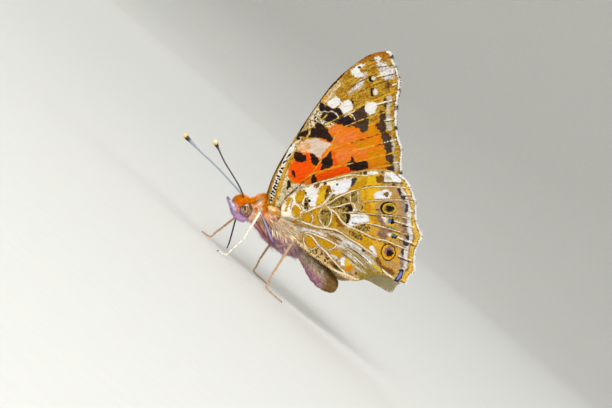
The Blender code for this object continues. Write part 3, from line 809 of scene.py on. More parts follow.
def leg(name, node, route, side, colours, seed):
    """One walking leg with its spines and claws."""
    draw = np.random.default_rng(seed)
    thigh_tone, thigh_edge_shade, shin_tone = colours
    top, shin, foot = leg_pieces(route, side)
    made = []
    parts = (("thigh", top, thigh_tone, 60), ("shin", shin, shin_tone, 60), ("foot", foot, shin_tone, 120))
    for part, stretch, tone, rings in parts:
        mesh, share, facing = drawn_out(stretch, sides=14, rings=rings)
        spots = read_spots(mesh) / MM
        knots = np.full(len(share), -1.0)
        if part == "foot":
            knots = np.cos(share * FOOT_JOINTS * 2 * math.pi)
        grain = draw.random(len(share))
        if part == "thigh":
            # The thigh is darkened along its edges, away from its outer side: painted shade.
            edge_shade = ease(0.86, 0.62, facing @ np.array((-0.3, 0.95 * side, 0.0))) * thigh_edge_shade
            edge_shade *= ease(0.04, 0.2, share)
            tones = mixed(tone, (CREAM_FUR, 0.4 * ease(0.6, 1.0, share)), (HORN_BLACK, edge_shade))
        else:
            tones = mixed(tone, (CREAM_FUR, 0.3 * grain), (SHIN_TAN, 0.5 * ease(0.5, 1.0, knots)))
        colour_points(mesh, tones)
        set_spots(mesh, spots + facing * (JOINT_SWELL * ease(0.3, 1.0, knots))[:, None])
        if part == "thigh":
            limb_tufts(
                name + "_hair", mesh, facing, along_limb(stretch), *THIGH_HAIRS, share > 0.05,
                (0.5 + 0.3 * side, 0.5), fur_finish, "leg_scales", seed=seed + 1,
            )
        else:
            chosen = draw.choice(np.flatnonzero(facing[:, 2] > -0.3), SPINES)
            lie = along_limb(stretch) + 0.6 * facing[chosen]
            dark = mixed(CLAW_DARK, (SHIN_TAN, draw.uniform(0, 0.8, SPINES)))
            tufts(
                f"{name}_{part}_spines", spots[chosen], lie, facing[chosen],
                draw.uniform(0.12, 0.24, SPINES), SPINE_WIDTH, dark, draw.uniform(0.2, 0.8, (SPINES, 2)),
                horn, "leg_scales", thin=1.0, droop=0.0,
            )
        made.append(mesh)
    toe = np.array(foot[-1][:3])
    ahead = unit(np.array([toe - np.array(foot[-2][:3])]))[0]
    for turn in (-1, 1):
        out = np.cross(ahead, (0, 0, 1)) * turn
        bend = toe + CLAW_BEND[0] * ahead + CLAW_BEND[1] * out + (0, 0, CLAW_RADII[0])
        point = toe + CLAW_END[0] * ahead + CLAW_END[1] * out
        places = (toe, bend, (*point[:2], CLAW_TIP))
        hook = [(*place, radius) for place, radius in zip(places, CLAW_RADII)]
        mesh, share, facing = drawn_out(hook, sides=8, rings=14)
        colour_points(mesh, np.tile(CLAW_DARK, (len(share), 1)))
        made.append(mesh)
    add_piece(name, joined(name, made), [scale_finish], "leg_scales", node)


# The middle number is how strongly the thigh's edges are darkened as painted shade.
WHITE_LEG = (THIGH_LILAC, 0.72, SHIN_WHITE)
TAN_LEG = (THIGH_TAN, 0.2, SHIN_TAN)
leg("walking_leg_mid_left", "midleg_left", MIDLEG_LEFT, -1, WHITE_LEG, 41)
leg("walking_leg_mid_right", "midleg_right", MIDLEG_RIGHT, 1, TAN_LEG, 43)
leg("walking_leg_hind_left", "hindleg_left", HINDLEG, -1, TAN_LEG, 45)
leg("walking_leg_hind_right", "hindleg_right", HINDLEG, 1, TAN_LEG, 47)
for side, name in SIDES:
    mesh, share, facing = drawn_out(mirrored(FORELEG, side), sides=20, rings=60)
    upper = facing @ np.array((0.3, 0.0, 0.95))
    rose = 0.85 * ease(0.45, -0.3, upper)
    colour_points(mesh, mixed(BRUSH_TAN, (BRUSH_ROSE, rose), (HORN_BLACK, 0.7 * ease(0.45, 0.75, upper))))
    add_piece("brush_leg_" + name, mesh, [scale_finish], "leg_scales", "foreleg_" + name)
    along = unit(np.array([[0.85, 0.1 * side, -0.35]]))
    limb_tufts(
        "brush_hair_" + name, mesh, facing, along, *BRUSH_HAIRS, share > 0.25,
        (0.4 + 0.2 * side, 0.6), fur_finish, "leg_scales", seed=51 + side,
    )

# The forewings: a thin dry membrane stretched between raised veins, clad on both faces in
# coloured scales and edged with a fringe of long ones. It is hinged high on the thorax.
WING_WALL = 0.18
WING_START = -2.0  # a first guess at how far out a pixel's ray meets the wing
RAY_STEPS = 8
TIP_SPREAD = 0.7
HINGE_SPREAD = 1.9
LEAN_HEIGHT = 8.0
CELL = 0.115  # of the wing's net
TRIM = 0.45 * CELL  # a point of the net further out than this is cut off
FAR = 1e9
VEIN_RISE = 0.07
VEIN_WIDE = 0.2
# An outline's points are (back, up) from the hinge. A mark's are in photo pixels from the corner pixel.
FORE_HINGE = (-4.45, 10.3)
FORE_CORNER = (260, 40)
RIGHT_FOREWING_LAG = 0.5
RIGHT_FOREWING_BACK = 0.55  # that its front edge stands behind the left one's
MARGIN_HOLLOW = 0.15
MARGIN_WHITE = 0.28  # from the edge; a brown line follows it, and dark spots break it
MARGIN_BROWN = 0.42
MARGIN_DARK = 0.32
FORE_COSTA = [(-0.3, -0.3), (-1.7, 1.8), (-3.1, 5.4), (-4.1, 10.9), (-4.9, 18.5), (-5.0, 22.6)]
FORE_SHOULDER = [(-4.3, 26.3), (-3.4, 29.1), (-2.0, 30.9), (-1.1, 31.6)]
FORE_TIPS = [
    (-0.2, 31.1), (1.2, 30.5), (3.0, 29.4), (4.2, 28.0), (5.7, 25.6), (8.1, 22.9), (11.1, 20.9), (13.5, 18.0),
]
FORE_INNER = [(13.6, 17.1), (10.5, 13.3), (7.8, 8.9), (5.0, 4.6), (3.1, 1.9), (2.4, 0.2)]
FORE_VEINS = [
    [(-0.8, 1.0), (-2.2, 4.6), (-3.3, 10.0), (-4.1, 17.0), (-4.4, 21.0)],
    [(0.0, 0.4), (-0.7, 4.9), (-1.9, 11.0), (-2.9, 18.5), (-3.1, 24.0), (-1.6, 30.2)],
    [(0.5, 0.3), (1.1, 6.0), (1.8, 10.7), (1.5, 13.2), (0.3, 16.3), (-1.3, 18.2)],
    [(-1.3, 18.2), (-1.8, 21.0), (-0.9, 23.6), (1.2, 27.5), (2.7, 29.1)],
    [(-2.8, 18.0), (-1.3, 18.2), (0.0, 20.2), (1.6, 23.2), (3.9, 27.5)],
    [(0.5, 15.9), (1.7, 19.1), (3.3, 21.7), (5.3, 25.1)],
    [(1.5, 13.2), (3.0, 15.6), (5.0, 18.3), (7.7, 22.5)],
    [(1.7, 8.6), (4.0, 11.7), (7.0, 15.5), (10.7, 20.4)],
    [(1.1, 0.6), (3.0, 4.4), (5.8, 9.3), (9.6, 13.8), (12.9, 17.2)],
    [(-3.0, 22.5), (-1.8, 26.0), (-0.3, 28.4), (0.9, 30.0)],
]


def forewing_spread(back, up):
    """Half the distance between the forewings, which lean together above their hinges."""
    return TIP_SPREAD + (HINGE_SPREAD - TIP_SPREAD) * np.exp(-up / LEAN_HEIGHT)


def wing_edge(costa, shoulder, tips, inner):
    """The wing's smooth edge, drawn in a little between each two vein tips."""
    points = costa + shoulder
    for tip, following in zip(tips, tips[1:]):
        run = np.subtract(following, tip)
        inward = np.array((run[1], -run[0])) / np.linalg.norm(run)
        points = points + [tip, tuple(np.add(tip, following) / 2 + inward * MARGIN_HOLLOW)]
    return smooth_line(points + [tips[-1]] + inner, 4, closed=True)


def nearest(spots, line, width=None):
    """For each spot the nearest place on a line of points, and its distance from the line's edge."""
    best = np.full(len(spots), FAR)
    feet = np.zeros_like(spots)
    for i, (a, b) in enumerate(zip(line[:-1], line[1:])):
        run = b - a
        share = np.clip((spots - a) @ run / max(run @ run, 1e-12), 0, 1)
        foot = a + share[:, None] * run
        off = np.hypot(*(spots - foot).T)
        if width is not None:
            off -= width[i] + (width[i + 1] - width[i]) * share
        nearer = off < best
        best[nearer] = off[nearer]
        feet[nearer] = foot[nearer]
    return feet, best


def within(spots, ring):
    """Whether each spot is inside a closed ring of points."""
    hit = np.zeros(len(spots), bool)
    x, y = spots.T
    for a, b in zip(ring, np.roll(ring, -1, axis=0)):
        if a[1] != b[1]:
            crosses = (a[1] > y) != (b[1] > y)
            hit ^= crosses & (x < (b[0] - a[0]) * (y - a[1]) / (b[1] - a[1]) + a[0])
    return hit


def ring_distance(spots, ring):
    """Distance from a closed ring, negative inside it."""
    feet, off = nearest(spots, np.vstack([ring, ring[:1]]))
    return np.where(within(spots, ring), -off, off), feet


def wing_sheet(edge):
    """The wing laid flat: a fine net trimmed to its edge and given a thin wall.

    Returns the mesh, its points as (back, up) and whether each is on the outer face.
    """
    low, high = edge.min(axis=0) - CELL, edge.max(axis=0) + CELL
    cells = np.ceil((high - low) / CELL).astype(int)
    bm = bmesh.new()
    bmesh.ops.create_grid(bm, x_segments=cells[0], y_segments=cells[1], size=0.5)
    bmesh.ops.scale(bm, vec=(cells[0] * CELL, cells[1] * CELL, 1), verts=bm.verts)
    middle = (low + high) / 2
    bmesh.ops.translate(bm, vec=(middle[0], middle[1], 0), verts=bm.verts)
    spots = np.array([v.co[:2] for v in bm.verts])
    off, feet = ring_distance(spots, edge)
    foot_of = {v: foot for v, foot in zip(bm.verts, feet)}
    outside = [v for v, far in zip(bm.verts, off) if far > TRIM]
    bmesh.ops.delete(bm, geom=outside, context="VERTS")
    for vert in bm.verts:
        if vert.is_boundary:
            vert.co.xy = foot_of[vert]
    bmesh.ops.remove_doubles(bm, verts=bm.verts, dist=0.2 * CELL)
    bmesh.ops.solidify(bm, geom=bm.faces[:], thickness=WING_WALL)
    bmesh.ops.recalc_face_normals(bm, faces=bm.faces)
    mesh = mesh_of(bm, "wing")
    spots = read_spots(mesh)
    return mesh, spots[:, :2], spots[:, 2] > spots[:, 2].mean()


def on_wing(pixels, place):
    """Carries a wing's pixels along the camera's rays onto the left wing's outer face.

    A wing's place is its hinge, its spread and its corner pixel.
    """
    hinge, spread, corner = place
    off = np.array(pixels, float) + corner - PHOTO_MIDDLE
    rays = (off[:, :1] * photo_right - off[:, 1:] * photo_up) / FOCAL - to_eye
    y = np.full(len(rays), WING_START)
    for _ in range(RAY_STEPS):
        spots = eye_place + rays * ((y - eye_place[1]) / rays[:, 1])[:, None]
        back, up = spots[:, 0] - hinge[0], spots[:, 2] - hinge[1]
        y = -(spread(back, up) + WING_WALL / 2)
    return np.column_stack([back, up])


def patch(*pixels):
    """A mark with a closed smooth outline, given as x, y, x, y and so on."""
    return "patch", np.reshape(pixels, (-1, 2)), 0.0


def streak(width, *pixels):
    """A mark along a line, so many pixels wide, given in the same way."""
    return "streak", np.reshape(pixels, (-1, 2)), width


def disc(x, y, wide, high):
    """An oval mark."""
    turns = 2 * math.pi * np.arange(10) / 10
    return patch(*np.column_stack([x + wide * np.cos(turns), y + high * np.sin(turns)]).ravel())


PAINT_REACH = 0.8  # millimetres from a mark beyond which nothing is measured
MARK_STEPS = 5


def painted(spots, shapes, place):
    """One layer of marks as each spot's distance from them, negative inside."""
    field = np.full(len(spots), PAINT_REACH)
    for kind, pixels, width in shapes:
        line = on_wing(smooth_line(pixels, MARK_STEPS, closed=kind == "patch"), place)
        half = width * PIXEL / 2
        reach = PAINT_REACH + half
        near = np.all((spots > line.min(axis=0) - reach) & (spots < line.max(axis=0) + reach), axis=1)
        if kind == "patch":
            off = ring_distance(spots[near], line)[0]
        else:
            from_end = 0.5 - np.abs(np.linspace(-0.5, 0.5, len(line)))
            off = nearest(spots[near], line, half * np.minimum(1.0, 0.35 + 4 * from_end))[1]
        field[near] = np.minimum(field[near], off)
    return field


SPECK = shade(52, 34, 14)
EDGE_JAGS = 0.4  # the size of each pattern in the scales
MOTTLING = 0.9
SPECKS = 0.3
GRAIN = 0.24


def wing_paint(ground, layers, speckle, vein_turn):
    """Scales: a mottled ground and its marks in order, each edge broken by single scales.

    Each layer is its name, light and dark tones, how far dark scales strew it, how soft its
    edge is in millimetres, and its shapes. The grain runs along the veins, at vein_turn.
    """

    def lay_out(wire):
        place = wire.place()
        jag = wire.noise(place, EDGE_JAGS, 2.0).rise(0.3, 0.7) - 0.5
        mottle = wire.noise(place, MOTTLING, 3.0)
        turn = (0, math.radians(-vein_turn), 0)
        turned = wire.node("Mapping", {}, {"Vector": place, "Rotation": turn})
        rows = wire.node("Mapping", {}, {"Vector": turned, "Scale": (1.0, 1.0, 0.25)})
        grain = wire.noise(rows, GRAIN, 1.5).rise(0.3, 0.7)
        patchy = (mottle * 0.6 + grain * 0.4).rise(0.32, 0.68)
        strewn = wire.noise(place, SPECKS, 1.0).rise(0.5, 0.57)
        colour = patchy.blend(*ground)
        colour = (strewn * speckle).blend(colour, SPECK)
        for name, light, dark, specks, soft, _ in layers:
            tone = patchy.blend(light, dark)
            if specks:
                tone = (strewn * specks).blend(tone, SPECK)
            edge = wire.stored(name) + jag * min(0.35, 3 * soft)
            colour = edge.rise(soft, -soft).blend(colour, tone)
        colour = (0.64 + 0.4 * grain).dim(colour)
        height = wire.node("Bump", {}, {"Height": grain, "Strength": 0.5, "Distance": BUMP * MM})
        gloss = {"Roughness": 0.7, "Specular IOR Level": 0.06}
        return {"Base Color": colour, "Normal": height, **gloss}

    return lay_out


def turned_back(flat, degrees):
    """Turns places on a wing about its hinge by so many degrees, its tip backwards."""
    turn = math.radians(degrees)
    back = flat[:, 0] * math.cos(turn) + flat[:, 1] * math.sin(turn)
    return np.column_stack([back, flat[:, 1] * math.cos(turn) - flat[:, 0] * math.sin(turn)])


def off_lines(flat, lines):
    return np.min([nearest(flat, line)[1] for line in lines], axis=0)


def wing_shape(place, outline, veins, folds, fold_height, fold_width):
    """A wing laid flat: its edge, mesh and points, and how far each stands out, with the veins
    raised on both faces and creases between them near the edge."""
    edge = wing_edge(*outline)
    mesh, flat, outer = wing_sheet(edge)
    sunk = ease(0.0, 0.6, -ring_distance(flat, edge)[0])  # veins sink into the membrane's edge
    vein_off = off_lines(flat, [smooth_line(vein, 5) for vein in veins])
    relief = VEIN_RISE * (1 - ease(0, VEIN_WIDE, vein_off)) * sunk
    fold_off = off_lines(flat, [on_wing(smooth_line(fold, 4), place) for _, fold, _ in folds])
    creases = fold_height * (1 - ease(0, fold_width, fold_off))
    stand = creases + np.where(outer, 1.0, -1.0) * (WING_WALL / 2 + relief)
    return edge, mesh, flat, outer, stand


def margin_of(edge, outline):
    """The stretch of a wing's edge that carries the fringe, from its shoulder to its last tip."""
    first, last = (int(np.argmin(np.hypot(*(edge - part[-1]).T))) for part in outline[1:3])
    return slice(first - 2, last + 3)


FRINGE_TONES = (shade(255, 254, 250), shade(238, 234, 226))
FRINGE_DARK = shade(92, 70, 58)
FRINGE_STEP = 0.022  # mean distance between two of its scales
FRINGE_WIDTH = 0.04
fringe_finish = finish("fringe_scales", coat_finish(size=0.1, roughness=0.7))


def fringe(name, line, place, side, lean, dark_at, seed, at_map, tones, slot):
    """Long scales along a line of the edge: white, and dark where the veins run out."""
    draw = np.random.default_rng(seed)
    hinge, spread, _ = place
    run = np.concatenate([[0.0], np.cumsum(np.hypot(*np.diff(line, axis=0).T))])
    count = int(run[-1] / FRINGE_STEP)
    at = draw.uniform(0, run[-1], count)
    flat = np.column_stack([np.interp(at, run, line[:, k]) for k in (0, 1)])
    ahead = unit(np.column_stack([np.interp(at, run, np.gradient(line[:, k])) for k in (0, 1)]))
    out = np.column_stack([-ahead[:, 1], ahead[:, 0]])
    flat = flat - out * draw.uniform(0.3, 0.46, count)[:, None]
    tilt = turned_back(out + ahead * draw.normal(0, 0.16, count)[:, None], lean)
    back, up = turned_back(flat, lean).T
    face = draw.choice((-1.0, 1.0), count) * draw.uniform(0.08, 0.12, count)
    roots = np.column_stack([hinge[0] + back, side * (spread(back, up) + face), hinge[1] + up])
    lie = np.column_stack([tilt[:, 0], draw.normal(0, 0.06, count), tilt[:, 1]])
    dark = np.zeros(count)
    for middle, wide in dark_at:
        dark = np.maximum(dark, 1 - ease(0.5, 1.0, np.hypot(*(flat - middle).T) / wide))
    tone = mixed(tones[0], (tones[1], draw.random(count)), (FRINGE_DARK, dark))
    where = at_map + np.column_stack([at / run[-1] * 0.4, np.zeros(count)])
    long = draw.uniform(0.32, 0.5, count)
    tufts(
        name, roots, lie, (0, side, 0), long, FRINGE_WIDTH, tone, where, fringe_finish, slot,
        thin=0.4, droop=0.0,
    )


def wing_pair(kind, place, shape, fields, mats, leans, fringes):
    """Stands both wings of a pair up at their hinges, each with its fringes.

    A wing's lean is the degrees that it is turned back and how far its hinge is moved back.
    """
    _, flat_mesh, flat, outer, stand = shape
    for (side, name), (lean, behind) in zip(SIDES, leans):
        (hinge_x, hinge_z), spread, corner = place
        hinge = (hinge_x + behind, hinge_z)
        mesh = flat_mesh.copy()
        mesh.name = f"{kind}_sheet_{name}"
        back, up = turned_back(flat, lean).T
        set_spots(mesh, np.column_stack([hinge[0] + back, side * (spread(back, up) + stand), hinge[1] + up]))
        for layer, field in fields.items():
            stored_numbers(mesh, layer, field)
        inner = [not outer[face.vertices].any() for face in mesh.polygons]
        mesh.polygons.foreach_set("material_index", np.array(inner, dtype=np.int32))
        add_piece(mesh.name, mesh, mats, kind + "_scales", f"{kind}_{name}")
        for word, line, dark_at, seed, (map_x, map_y), tones in fringes:
            fringe(
                f"{kind}_{word}_{name}", line, (hinge, spread, corner), side, lean, dark_at, seed + side,
                (map_x, map_y + 0.2 * side), tones, kind + "_scales",
            )


def margin_fields(flat, line, dark_at):
    """Where the wing's edge is white under its fringe, and dark where the veins run out."""
    off = nearest(flat, line)[1]
    dark = np.full(len(flat), PAINT_REACH)
    for middle, wide in dark_at:
        dark = np.minimum(dark, np.hypot(*(flat - middle).T) - wide)
    dark = np.maximum(dark, off - MARGIN_DARK)
    return {"margin_line": off - MARGIN_BROWN, "margin": off - MARGIN_WHITE, "margin_dark": dark}


def two_tones(*parts):
    """A paint's light tone and its dark one."""
    return shade(*parts[:3]), shade(*parts[3:])


# Forewing paints, and the marks in the order in which they lie over one another.
CREAM = two_tones(246, 232, 196, 220, 196, 148)
CHALK = two_tones(252, 249, 242, 228, 224, 216)
LINEN = two_tones(255, 250, 238, 242, 228, 198)
MILK = two_tones(252, 248, 244, 206, 198, 194)
FLAME = two_tones(240, 128, 20, 228, 114, 12)
EMBER = two_tones(250, 90, 2, 240, 76, 1)
BLUSH = two_tones(240, 132, 58, 232, 120, 44)
HONEY = two_tones(224, 142, 8, 212, 126, 4)
PEACH = two_tones(238, 176, 112, 232, 186, 142)
COSTAL_PEACH = two_tones(232, 198, 138, 202, 158, 92)
PETAL = two_tones(236, 214, 194, 218, 192, 170)
SOOT = two_tones(36, 24, 20, 52, 34, 26)
UMBER = two_tones(88, 66, 50, 58, 42, 32)
NAVY = two_tones(34, 24, 28, 50, 34, 34)
ASH = two_tones(222, 218, 196, 180, 170, 138)
GOLD = two_tones(238, 190, 60, 214, 152, 30)
BROWN = two_tones(112, 76, 32, 88, 58, 26)
RUST = two_tones(190, 112, 24, 158, 88, 16)

ZEBRA_TICKS = [
    (9.6, 159.6, 12.6, 161), (9.8, 156.6, 12.8, 158.2), (10.6, 153, 14.4, 155.8), (11.2, 150.2, 15, 153.2),
    (12.8, 147, 17, 150.8), (13.8, 144.8, 17.2, 147.4), (14.4, 142.4, 18.2, 144), (15.2, 139.8, 17.4, 141),
    (17, 138.6, 20.4, 139.6), (16.6, 135.4, 20.2, 137), (19.4, 130.6, 22.4, 133.4), (21, 128.6, 23.8, 128),
    (22.8, 123.6, 27, 119.8), (26.8, 117.8, 31, 113),
]
FORE_FOLDS = [
    streak(1, 115, 37, 125, 34, 137, 31.5), streak(1, 132, 45, 140, 43),
    streak(1, 117, 64, 125, 62, 138, 58.5), streak(1, 124, 80.5, 134, 78.8),
    streak(1, 124, 102.5, 139, 98.5), streak(1, 133, 123, 141, 121.5),
]
FORE_LAYERS = [
    ("costal_cream", *CREAM, 0.5, 0.15, [
        patch(23, 130, 30, 118, 37, 106, 45, 91, 53, 78, 60, 64, 66, 54, 73, 46, 78, 40, 81, 44, 75, 52,
            73, 58, 65, 63, 62, 70, 55, 78, 50, 87, 43, 93, 37, 101, 32, 112, 26, 125, 21, 138, 19, 150),
        patch(16, 164, 20, 152, 24, 138, 29, 127, 32, 132, 29, 143, 35, 143, 43, 143, 52, 142, 40, 150,
            31, 157, 24, 165),
    ]),
    ("costal_peach", *COSTAL_PEACH, 0.4, 0.08, [
        streak(4.4, 37, 98, 46, 87, 55, 72, 64, 59, 72, 49, 81, 40),
    ]),
    ("costal_white_and_highlight", *CHALK, 0.0, 0.06, [
        streak(4.6, 10.5, 163, 12.6, 154, 16, 143, 21, 131, 26, 120, 31, 110, 35.5, 102),
        # The short streak is a painted highlight on the costa.
        streak(1.6, 31, 126, 33, 120),
    ]),
    ("costal_ochre", *GOLD, 0.3, 0.1, [
        streak(2.6, 15, 160, 19.8, 149, 22.4, 138, 25, 130, 28, 121, 31, 116),
        patch(60, 55, 65, 53, 66, 58, 62, 62, 59, 60),
    ]),
    ("orange", *FLAME, 0.0, 0.1, [
        patch(29, 128, 32, 121, 37, 112, 46, 100, 60, 99, 69, 90, 67, 84, 75, 81, 85, 83, 96, 87, 106, 92,
            112, 84, 119, 81, 122, 88, 122, 100, 125, 110, 127, 122, 132, 125, 120, 130, 92, 134, 68, 141,
            54, 144, 43, 144, 34, 143, 28, 136),
    ]),
    ("ember", *EMBER, 0.0, 0.22, [
        patch(30, 126, 36, 121, 48, 113, 53, 126, 60, 123, 61, 130, 52, 133, 45, 139, 37, 143, 31, 137),
        patch(56, 136, 62, 132, 85, 126, 89, 128, 92, 132, 84, 134, 70, 138, 58, 141),
        patch(72, 112, 74, 111, 77, 118, 78, 125, 74, 126, 73, 120),
    ]),
    ("blush", *BLUSH, 0.0, 0.36, [
        patch(69, 87, 76, 85, 81, 89, 75, 93, 71, 92),
        patch(75, 96, 90, 91, 98, 95, 92, 101, 80, 104, 74, 107, 73, 101),
        patch(77, 111, 90, 108, 106, 109, 106, 114, 92, 115, 86, 121, 78, 121, 75, 116),
    ]),
    ("honey", *HONEY, 0.0, 0.36, [
        patch(108, 88, 116, 84, 121, 92, 118, 97, 110, 97),
        patch(92, 103, 106, 100, 118, 99, 116, 104, 102, 107),
        patch(108, 111, 122, 108, 125, 116, 126, 123, 110, 125, 108, 119),
    ]),
    ("petal", *PETAL, 0.0, 0.1, [
        patch(44, 101, 50, 99, 56, 98, 60, 100, 66, 102.5, 70, 104, 69, 107, 66, 110, 62, 116, 60, 118.5,
            57, 117, 53, 113.5, 48, 111.5, 43, 112, 39, 110, 38, 107, 40, 103),
    ]),
    ("peach", *PEACH, 0.0, 0.3, [patch(40, 104, 46, 102, 51, 105, 49, 110, 43, 112, 39, 109)]),
    ("umber", *UMBER, 0.0, 0.09, [
        patch(92, 72.5, 97, 69.5, 100, 68.5, 103, 65.5, 105.2, 65, 105.5, 70, 108, 75, 109, 80, 108, 86,
            107, 91, 103.5, 92.7, 100.5, 91, 99, 88.3, 92, 86, 86, 86.5, 84, 84, 92, 79),
    ]),
    ("dark_bridge", *UMBER, 0.0, 0.1, [
        patch(59.5, 63, 66, 66.5, 73, 68, 78, 67.5, 83, 74, 90, 75, 86, 85, 78, 84, 66, 82, 61.5, 79),
    ]),
    ("marbling", *CREAM, 0.8, 0.15, [
        patch(50, 78, 55, 70, 60, 70, 62, 74, 61, 79, 70, 82, 74, 84, 70, 86.5, 64, 86, 54, 86, 48, 87),
    ]),
    ("soot", *SOOT, 0.0, 0.07, [
        patch(34, 117, 35, 113, 37, 111, 43, 114, 45.5, 115, 47, 118.5, 46, 120.5, 43, 122, 39, 122.5,
            35, 120),
        patch(50, 114, 53, 113.5, 55, 115.5, 59.5, 120, 58.5, 123, 56.5, 126, 51.5, 123, 51.3, 118),
        patch(71, 111, 66, 116, 62, 118.5, 60, 122, 62, 123.5, 61, 130, 66, 129, 73, 126, 72.5, 120),
        patch(52, 135.5, 55, 135, 57, 139.5, 56, 143, 51, 144),
        patch(31, 130.5, 34, 131, 36, 136, 35.5, 138, 33, 136),
        patch(28.5, 140, 30.8, 142, 30.5, 146, 28, 150, 26.6, 148, 27, 143),
        patch(51, 89, 56, 87.5, 66, 88, 69, 92, 72, 97, 73, 99.5, 71, 102, 66.5, 100.5, 62, 98.5, 56, 97.5,
            51, 98, 47.5, 97.5, 50.5, 94),
        patch(37, 98, 39, 94, 42, 91, 45, 90.5, 48.5, 88.5, 48, 93, 45, 97, 41, 96.5),
        patch(92, 116.5, 94, 120, 97, 121.5, 106, 121, 108, 127, 106, 129.5, 92, 131, 88, 126.5, 86, 124.5,
            90, 120.5), disc(38, 98, 1.9, 1.9),
        patch(54.5, 86.5, 57, 83, 59.5, 83.5, 63, 85, 66, 88, 58, 89),
    ]),
    ("zebra", *SOOT, 0.0, 0.04, [streak(1.7, *tick) for tick in ZEBRA_TICKS]),
    ("haze", *MILK, 0.4, 0.3, [
        patch(88, 54, 93, 48, 98, 43, 101, 39.5, 103, 42, 101, 47, 97, 49, 93, 51),
        patch(117, 23, 124, 22, 128, 26, 134, 29, 134, 37, 128, 39.5, 122, 37, 120, 31, 118, 27),
        patch(103, 33, 107, 34, 105, 37.5, 102, 37),
    ]),
    ("tip_brown", *BROWN, 0.3, 0.4, [disc(128, 45.5, 2.6, 4.6)]),
    ("ash", *ASH, 0.2, 0.15, [
        patch(126, 57, 130, 55, 132, 57, 131, 65, 130, 75, 131, 82, 132, 90, 129, 91, 126, 88, 125, 80,
            126, 70, 127, 63),
        patch(130, 96, 133, 99, 135, 106, 134, 112, 136, 120, 138, 128, 136, 133, 133, 130, 133, 120,
            131, 110, 129, 100),
    ]),
    ("white", *CHALK, 0.0, 0.09, [
        patch(68, 64, 70, 60, 73, 58, 76, 56, 79, 58, 81, 61, 80, 64, 77, 67, 73, 68.5, 70, 67),
        patch(80, 65, 83, 62, 87, 59.5, 91, 61, 92.5, 64, 92, 69, 89, 73, 84, 74.5, 82, 71, 79, 68),
        patch(106, 63, 110, 61.5, 114, 61.5, 117, 65, 116, 69, 114, 73, 110, 74.5, 107, 72, 104.5, 68),
        patch(91, 32.5, 93, 29, 98, 25.5, 103, 23.5, 105, 24, 101, 28, 100, 31, 104, 34, 102, 36, 98, 37.5,
            91.5, 34), disc(113.5, 38.5, 2.2, 1.8), disc(115.4, 52, 2.3, 3.1),
        patch(114.5, 16.5, 119, 16, 121, 19.5, 119, 22, 115.5, 21),
    ]),
    ("navy", *NAVY, 0.0, 0.06, [
        patch(59.5, 63, 63.5, 63, 64, 67, 65, 70, 62, 71, 60, 70.5, 59.5, 67),
        patch(65, 68, 67, 66, 71, 67.5, 73, 69.5, 72.5, 71, 68, 72, 66, 71),
        patch(60.5, 77, 63, 74, 66, 73, 65.5, 75, 63, 78, 60.7, 79.5),
        patch(66, 78.5, 68, 74, 71, 72.5, 74, 74, 77, 76.5, 76.5, 79.5, 73, 80, 68.5, 82, 66, 81),
        patch(74, 69.5, 77, 67.5, 80, 69, 82, 72, 83.5, 75.5, 80.5, 75, 78, 73, 75, 72),
        patch(77, 83, 80, 79, 84, 77.5, 88.5, 74.5, 90.5, 77, 93.5, 79, 94, 82, 91, 85.5, 87, 86, 84, 85,
            81, 83.5, 78, 84), streak(1.8, 91, 59.5, 93, 62.5, 94.5, 66), disc(99.5, 27.5, 1.5, 1.2),
        patch(109.4, 35.6, 111.3, 37, 111.4, 39.6, 114, 40.8, 113, 42, 110, 41.2, 108.4, 39),
        patch(114, 48, 112.8, 50.5, 113, 54, 115, 56, 112.5, 56.4, 110.4, 54, 110.3, 50, 112, 48.2),
        streak(1.2, 54, 79, 57, 76, 59, 77), disc(55.5, 81.5, 0.9, 0.9),
    ]),
    ("submargin", *UMBER, 0.0, 0.1, [
        patch(119.5, 72, 124, 71, 126, 77, 125, 82, 120.5, 82),
        patch(115.5, 84.5, 120, 81.5, 125.5, 82.5, 126, 91, 121, 92.5, 117, 88),
        patch(121.5, 93, 128, 92.5, 131, 98, 129.5, 103.5, 123.5, 103, 122, 99),
        patch(124.5, 104, 131, 102.8, 132.5, 108, 131, 113, 126, 111),
        patch(126, 113.5, 132, 113, 133.5, 120, 131, 123, 126.5, 121.5),
        patch(126, 126.5, 133, 125.5, 134, 131, 128, 132),
        patch(124, 58, 126.5, 58, 127, 64, 125, 70, 124, 65), streak(1.1, 125, 123, 132, 123),
    ]),
    ("cream_lines", *CREAM, 0.0, 0.04, [
        streak(0.8, 61, 72.7, 64, 71.3, 67, 72.5, 64.5, 77, 60.8, 80.6),
        streak(0.8, 68, 72.6, 71, 71.2, 74.5, 72.6, 77.5, 75, 78.8, 79),
        streak(0.9, 90.5, 74, 93.5, 76, 95, 80), streak(1, 50, 90, 49, 95),
        streak(1.1, 84, 76.5, 91, 73, 97, 68.5),
    ]),
    ("edge_orange", *RUST, 0.3, 0.3, [streak(4.4, 100, 22, 108, 17.5, 117, 14, 124, 13.5, 130, 17)]),
    ("gold_veins", *GOLD, 0.0, 0.04, [
        streak(1.1, 43, 141, 52, 134, 60, 131.5, 76, 127, 86, 124.7, 104, 120.3),
        streak(1.1, 104, 120.3, 109, 119.3, 125, 115, 142.5, 110), streak(0.9, 68, 110, 77, 107, 91, 103),
        streak(1, 52, 134, 60, 122, 70, 109.5, 75, 96, 82, 90),
        streak(0.9, 84, 87, 101, 80, 120, 74, 137, 67),
        streak(0.9, 80, 76.5, 92, 70, 105, 64, 122, 57, 139.5, 50), streak(1.1, 65, 86, 71, 82, 78, 78),
        streak(1, 61, 80, 65, 77, 68, 73.5), streak(1.4, 108, 85.5, 116, 83),
        streak(1.5, 92, 110.5, 100, 109, 108, 107.3, 118, 104.5),
        streak(1.9, 111, 128.5, 121, 126.7, 132, 124.8),
    ]),
    ("shadows", *BROWN, 0.0, 0.05, [
        streak(1.2, 114, 85, 125, 81.7, 134, 80.3), streak(1.3, 115, 106, 123, 104, 130, 101.7),
        streak(1.2, 124, 124.5, 133, 123.6), streak(0.9, 91, 103, 110, 97, 137, 89),
